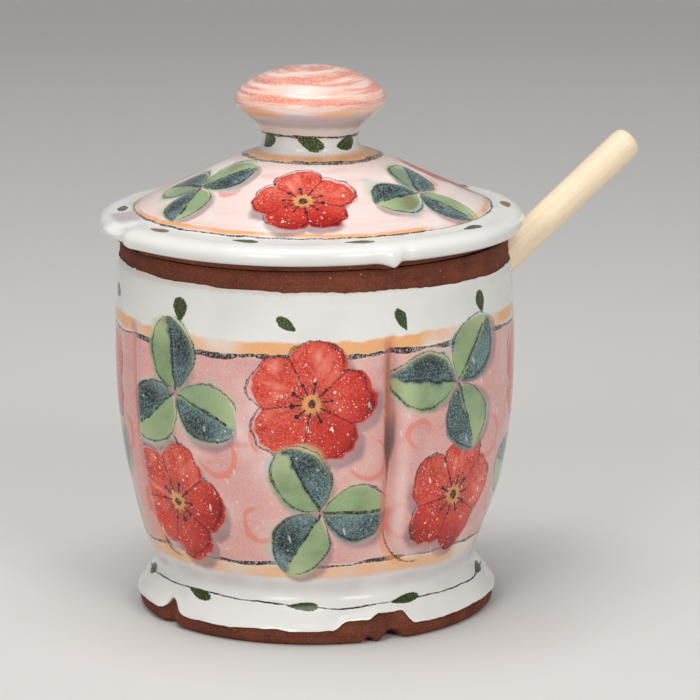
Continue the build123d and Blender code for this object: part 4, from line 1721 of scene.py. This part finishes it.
# ====================================================================== the room
@dataclass
class Viewpoint:
    """Where the camera stands, in millimetres and degrees."""

    distance: float = 1000.0
    height: float = 292.2
    azimuth: float = FRONT
    pitch: float = 12.6                 # downwards
    yaw: float = 0.547                  # to the right
    roll: float = 0.45
    focal_pixels: float = 3800.0
    sensor: float = 36.0
    clip: tuple[float, float] = (0.05, 20.0)            # in metres

    def build(self) -> None:
        """Make the camera and set it as the scene's."""
        turn = Matrix.Rotation(math.radians(self.azimuth), 3, "Z")
        down, aside = math.radians(self.pitch), math.radians(self.yaw)
        ahead = turn @ Vector((
            math.sin(aside) * math.cos(down), math.cos(aside) * math.cos(down), -math.sin(down)))
        right = ahead.cross(Vector((0, 0, 1))).normalized()
        up = right.cross(ahead)
        cosine, sine = math.cos(math.radians(self.roll)), math.sin(math.radians(self.roll))
        right, up = right * cosine - up * sine, right * sine + up * cosine
        place = (turn @ Vector((0, -self.distance, self.height))) * MM
        data = bpy.data.cameras.new("camera")
        data.sensor_width = self.sensor
        data.lens = self.focal_pixels / PICTURE_PIXELS * self.sensor
        data.clip_start, data.clip_end = self.clip
        camera = bpy.data.objects.new("camera", data)
        axes = Matrix((right, up, -ahead)).transposed().to_4x4()
        camera.matrix_world = Matrix.Translation(place) @ axes
        bpy.context.scene.collection.objects.link(camera)
        bpy.context.scene.camera = camera


@dataclass
class Studio:
    """A pale sweep and soft lamps."""

    floor_tint: Colour = pigment(222, 221, 219)
    sky_tint: Colour = pigment(214, 215, 218)
    sky_strength: float = 0.3
    warmth: tuple[float, float, float] = (1.0, 0.99, 0.975)
    aim: tuple[float, float, float] = (0.0, 0.0, 0.07)  # where the lamps point, in metres

    def sweep(self) -> None:
        """Make the floor, which curves up behind into a backdrop all round."""
        mesh = spun(drawn([(0.0, 0.0), (300.0, 0.0), (900.0, 0.0), (1500.0, 40.0), (1900.0, 330.0),
                           (2050.0, 900.0), (2060.0, 1500.0)], 60.0), 96, closed=False)
        bmesh.ops.reverse_faces(mesh, faces=mesh.faces)
        floor = finished(mesh, "sweep")
        mix = Recipe("sweep")
        mix.shader.inputs["Base Color"].default_value = self.floor_tint
        mix.shader.inputs["Roughness"].default_value = 0.75
        mix.shader.inputs["Specular IOR Level"].default_value = 0.2
        floor.data.materials.append(mix.material)

    def lamp(self, name: str, place: Vector, size: float, power: float) -> None:
        """Hang a soft square lamp that points at the pot.

        Args:
            name: The lamp's name.
            place: Where it hangs, in metres.
            size: Its side, in metres.
            power: Its power, in watts.
        """
        data = bpy.data.lights.new(name, "AREA")
        data.shape, data.size, data.energy, data.color = "SQUARE", size, power, self.warmth
        lamp = bpy.data.objects.new(name, data)
        lamp.location = place
        lamp.rotation_mode = "QUATERNION"
        lamp.rotation_quaternion = (Vector(self.aim) - place).to_track_quat("-Z", "Y")
        bpy.context.scene.collection.objects.link(lamp)

    def build(self) -> None:
        """Make the room, its light and the plain view transform."""
        self.sweep()
        turn = Matrix.Rotation(math.radians(FRONT), 3, "Z")
        for name, place, size, power in (
            ("key", (0.6, -1.05, 0.72), 0.5, 5.3),
            ("fill", (-0.55, -1.1, 0.7), 0.5, 4.7),
            ("top", (-0.1, -0.1, 1.3), 0.8, 9.6),
        ):
            self.lamp(name, turn @ Vector(place), size, power)
        world = bpy.data.worlds.new("room")
        world.use_nodes = True
        sky = world.node_tree.nodes["Background"]
        sky.inputs["Color"].default_value = self.sky_tint
        sky.inputs["Strength"].default_value = self.sky_strength
        bpy.context.scene.world = world
        bpy.context.scene.view_settings.view_transform = "Standard"


def main() -> None:
    """Build the room and every piece, in order."""
    logging.basicConfig(level=logging.INFO, format="%(name)s: %(message)s")
    Viewpoint().build()
    Studio().build()
    clay, plain = BareClay(), PlainGlaze()
    ThrownPot().build(clay, PaintedPot(), plain)
    ThrownLid().build(clay, PaintedLid(), plain)
    TurnedDipper().build(PaleWood())


if __name__ == "__main__":
    main()
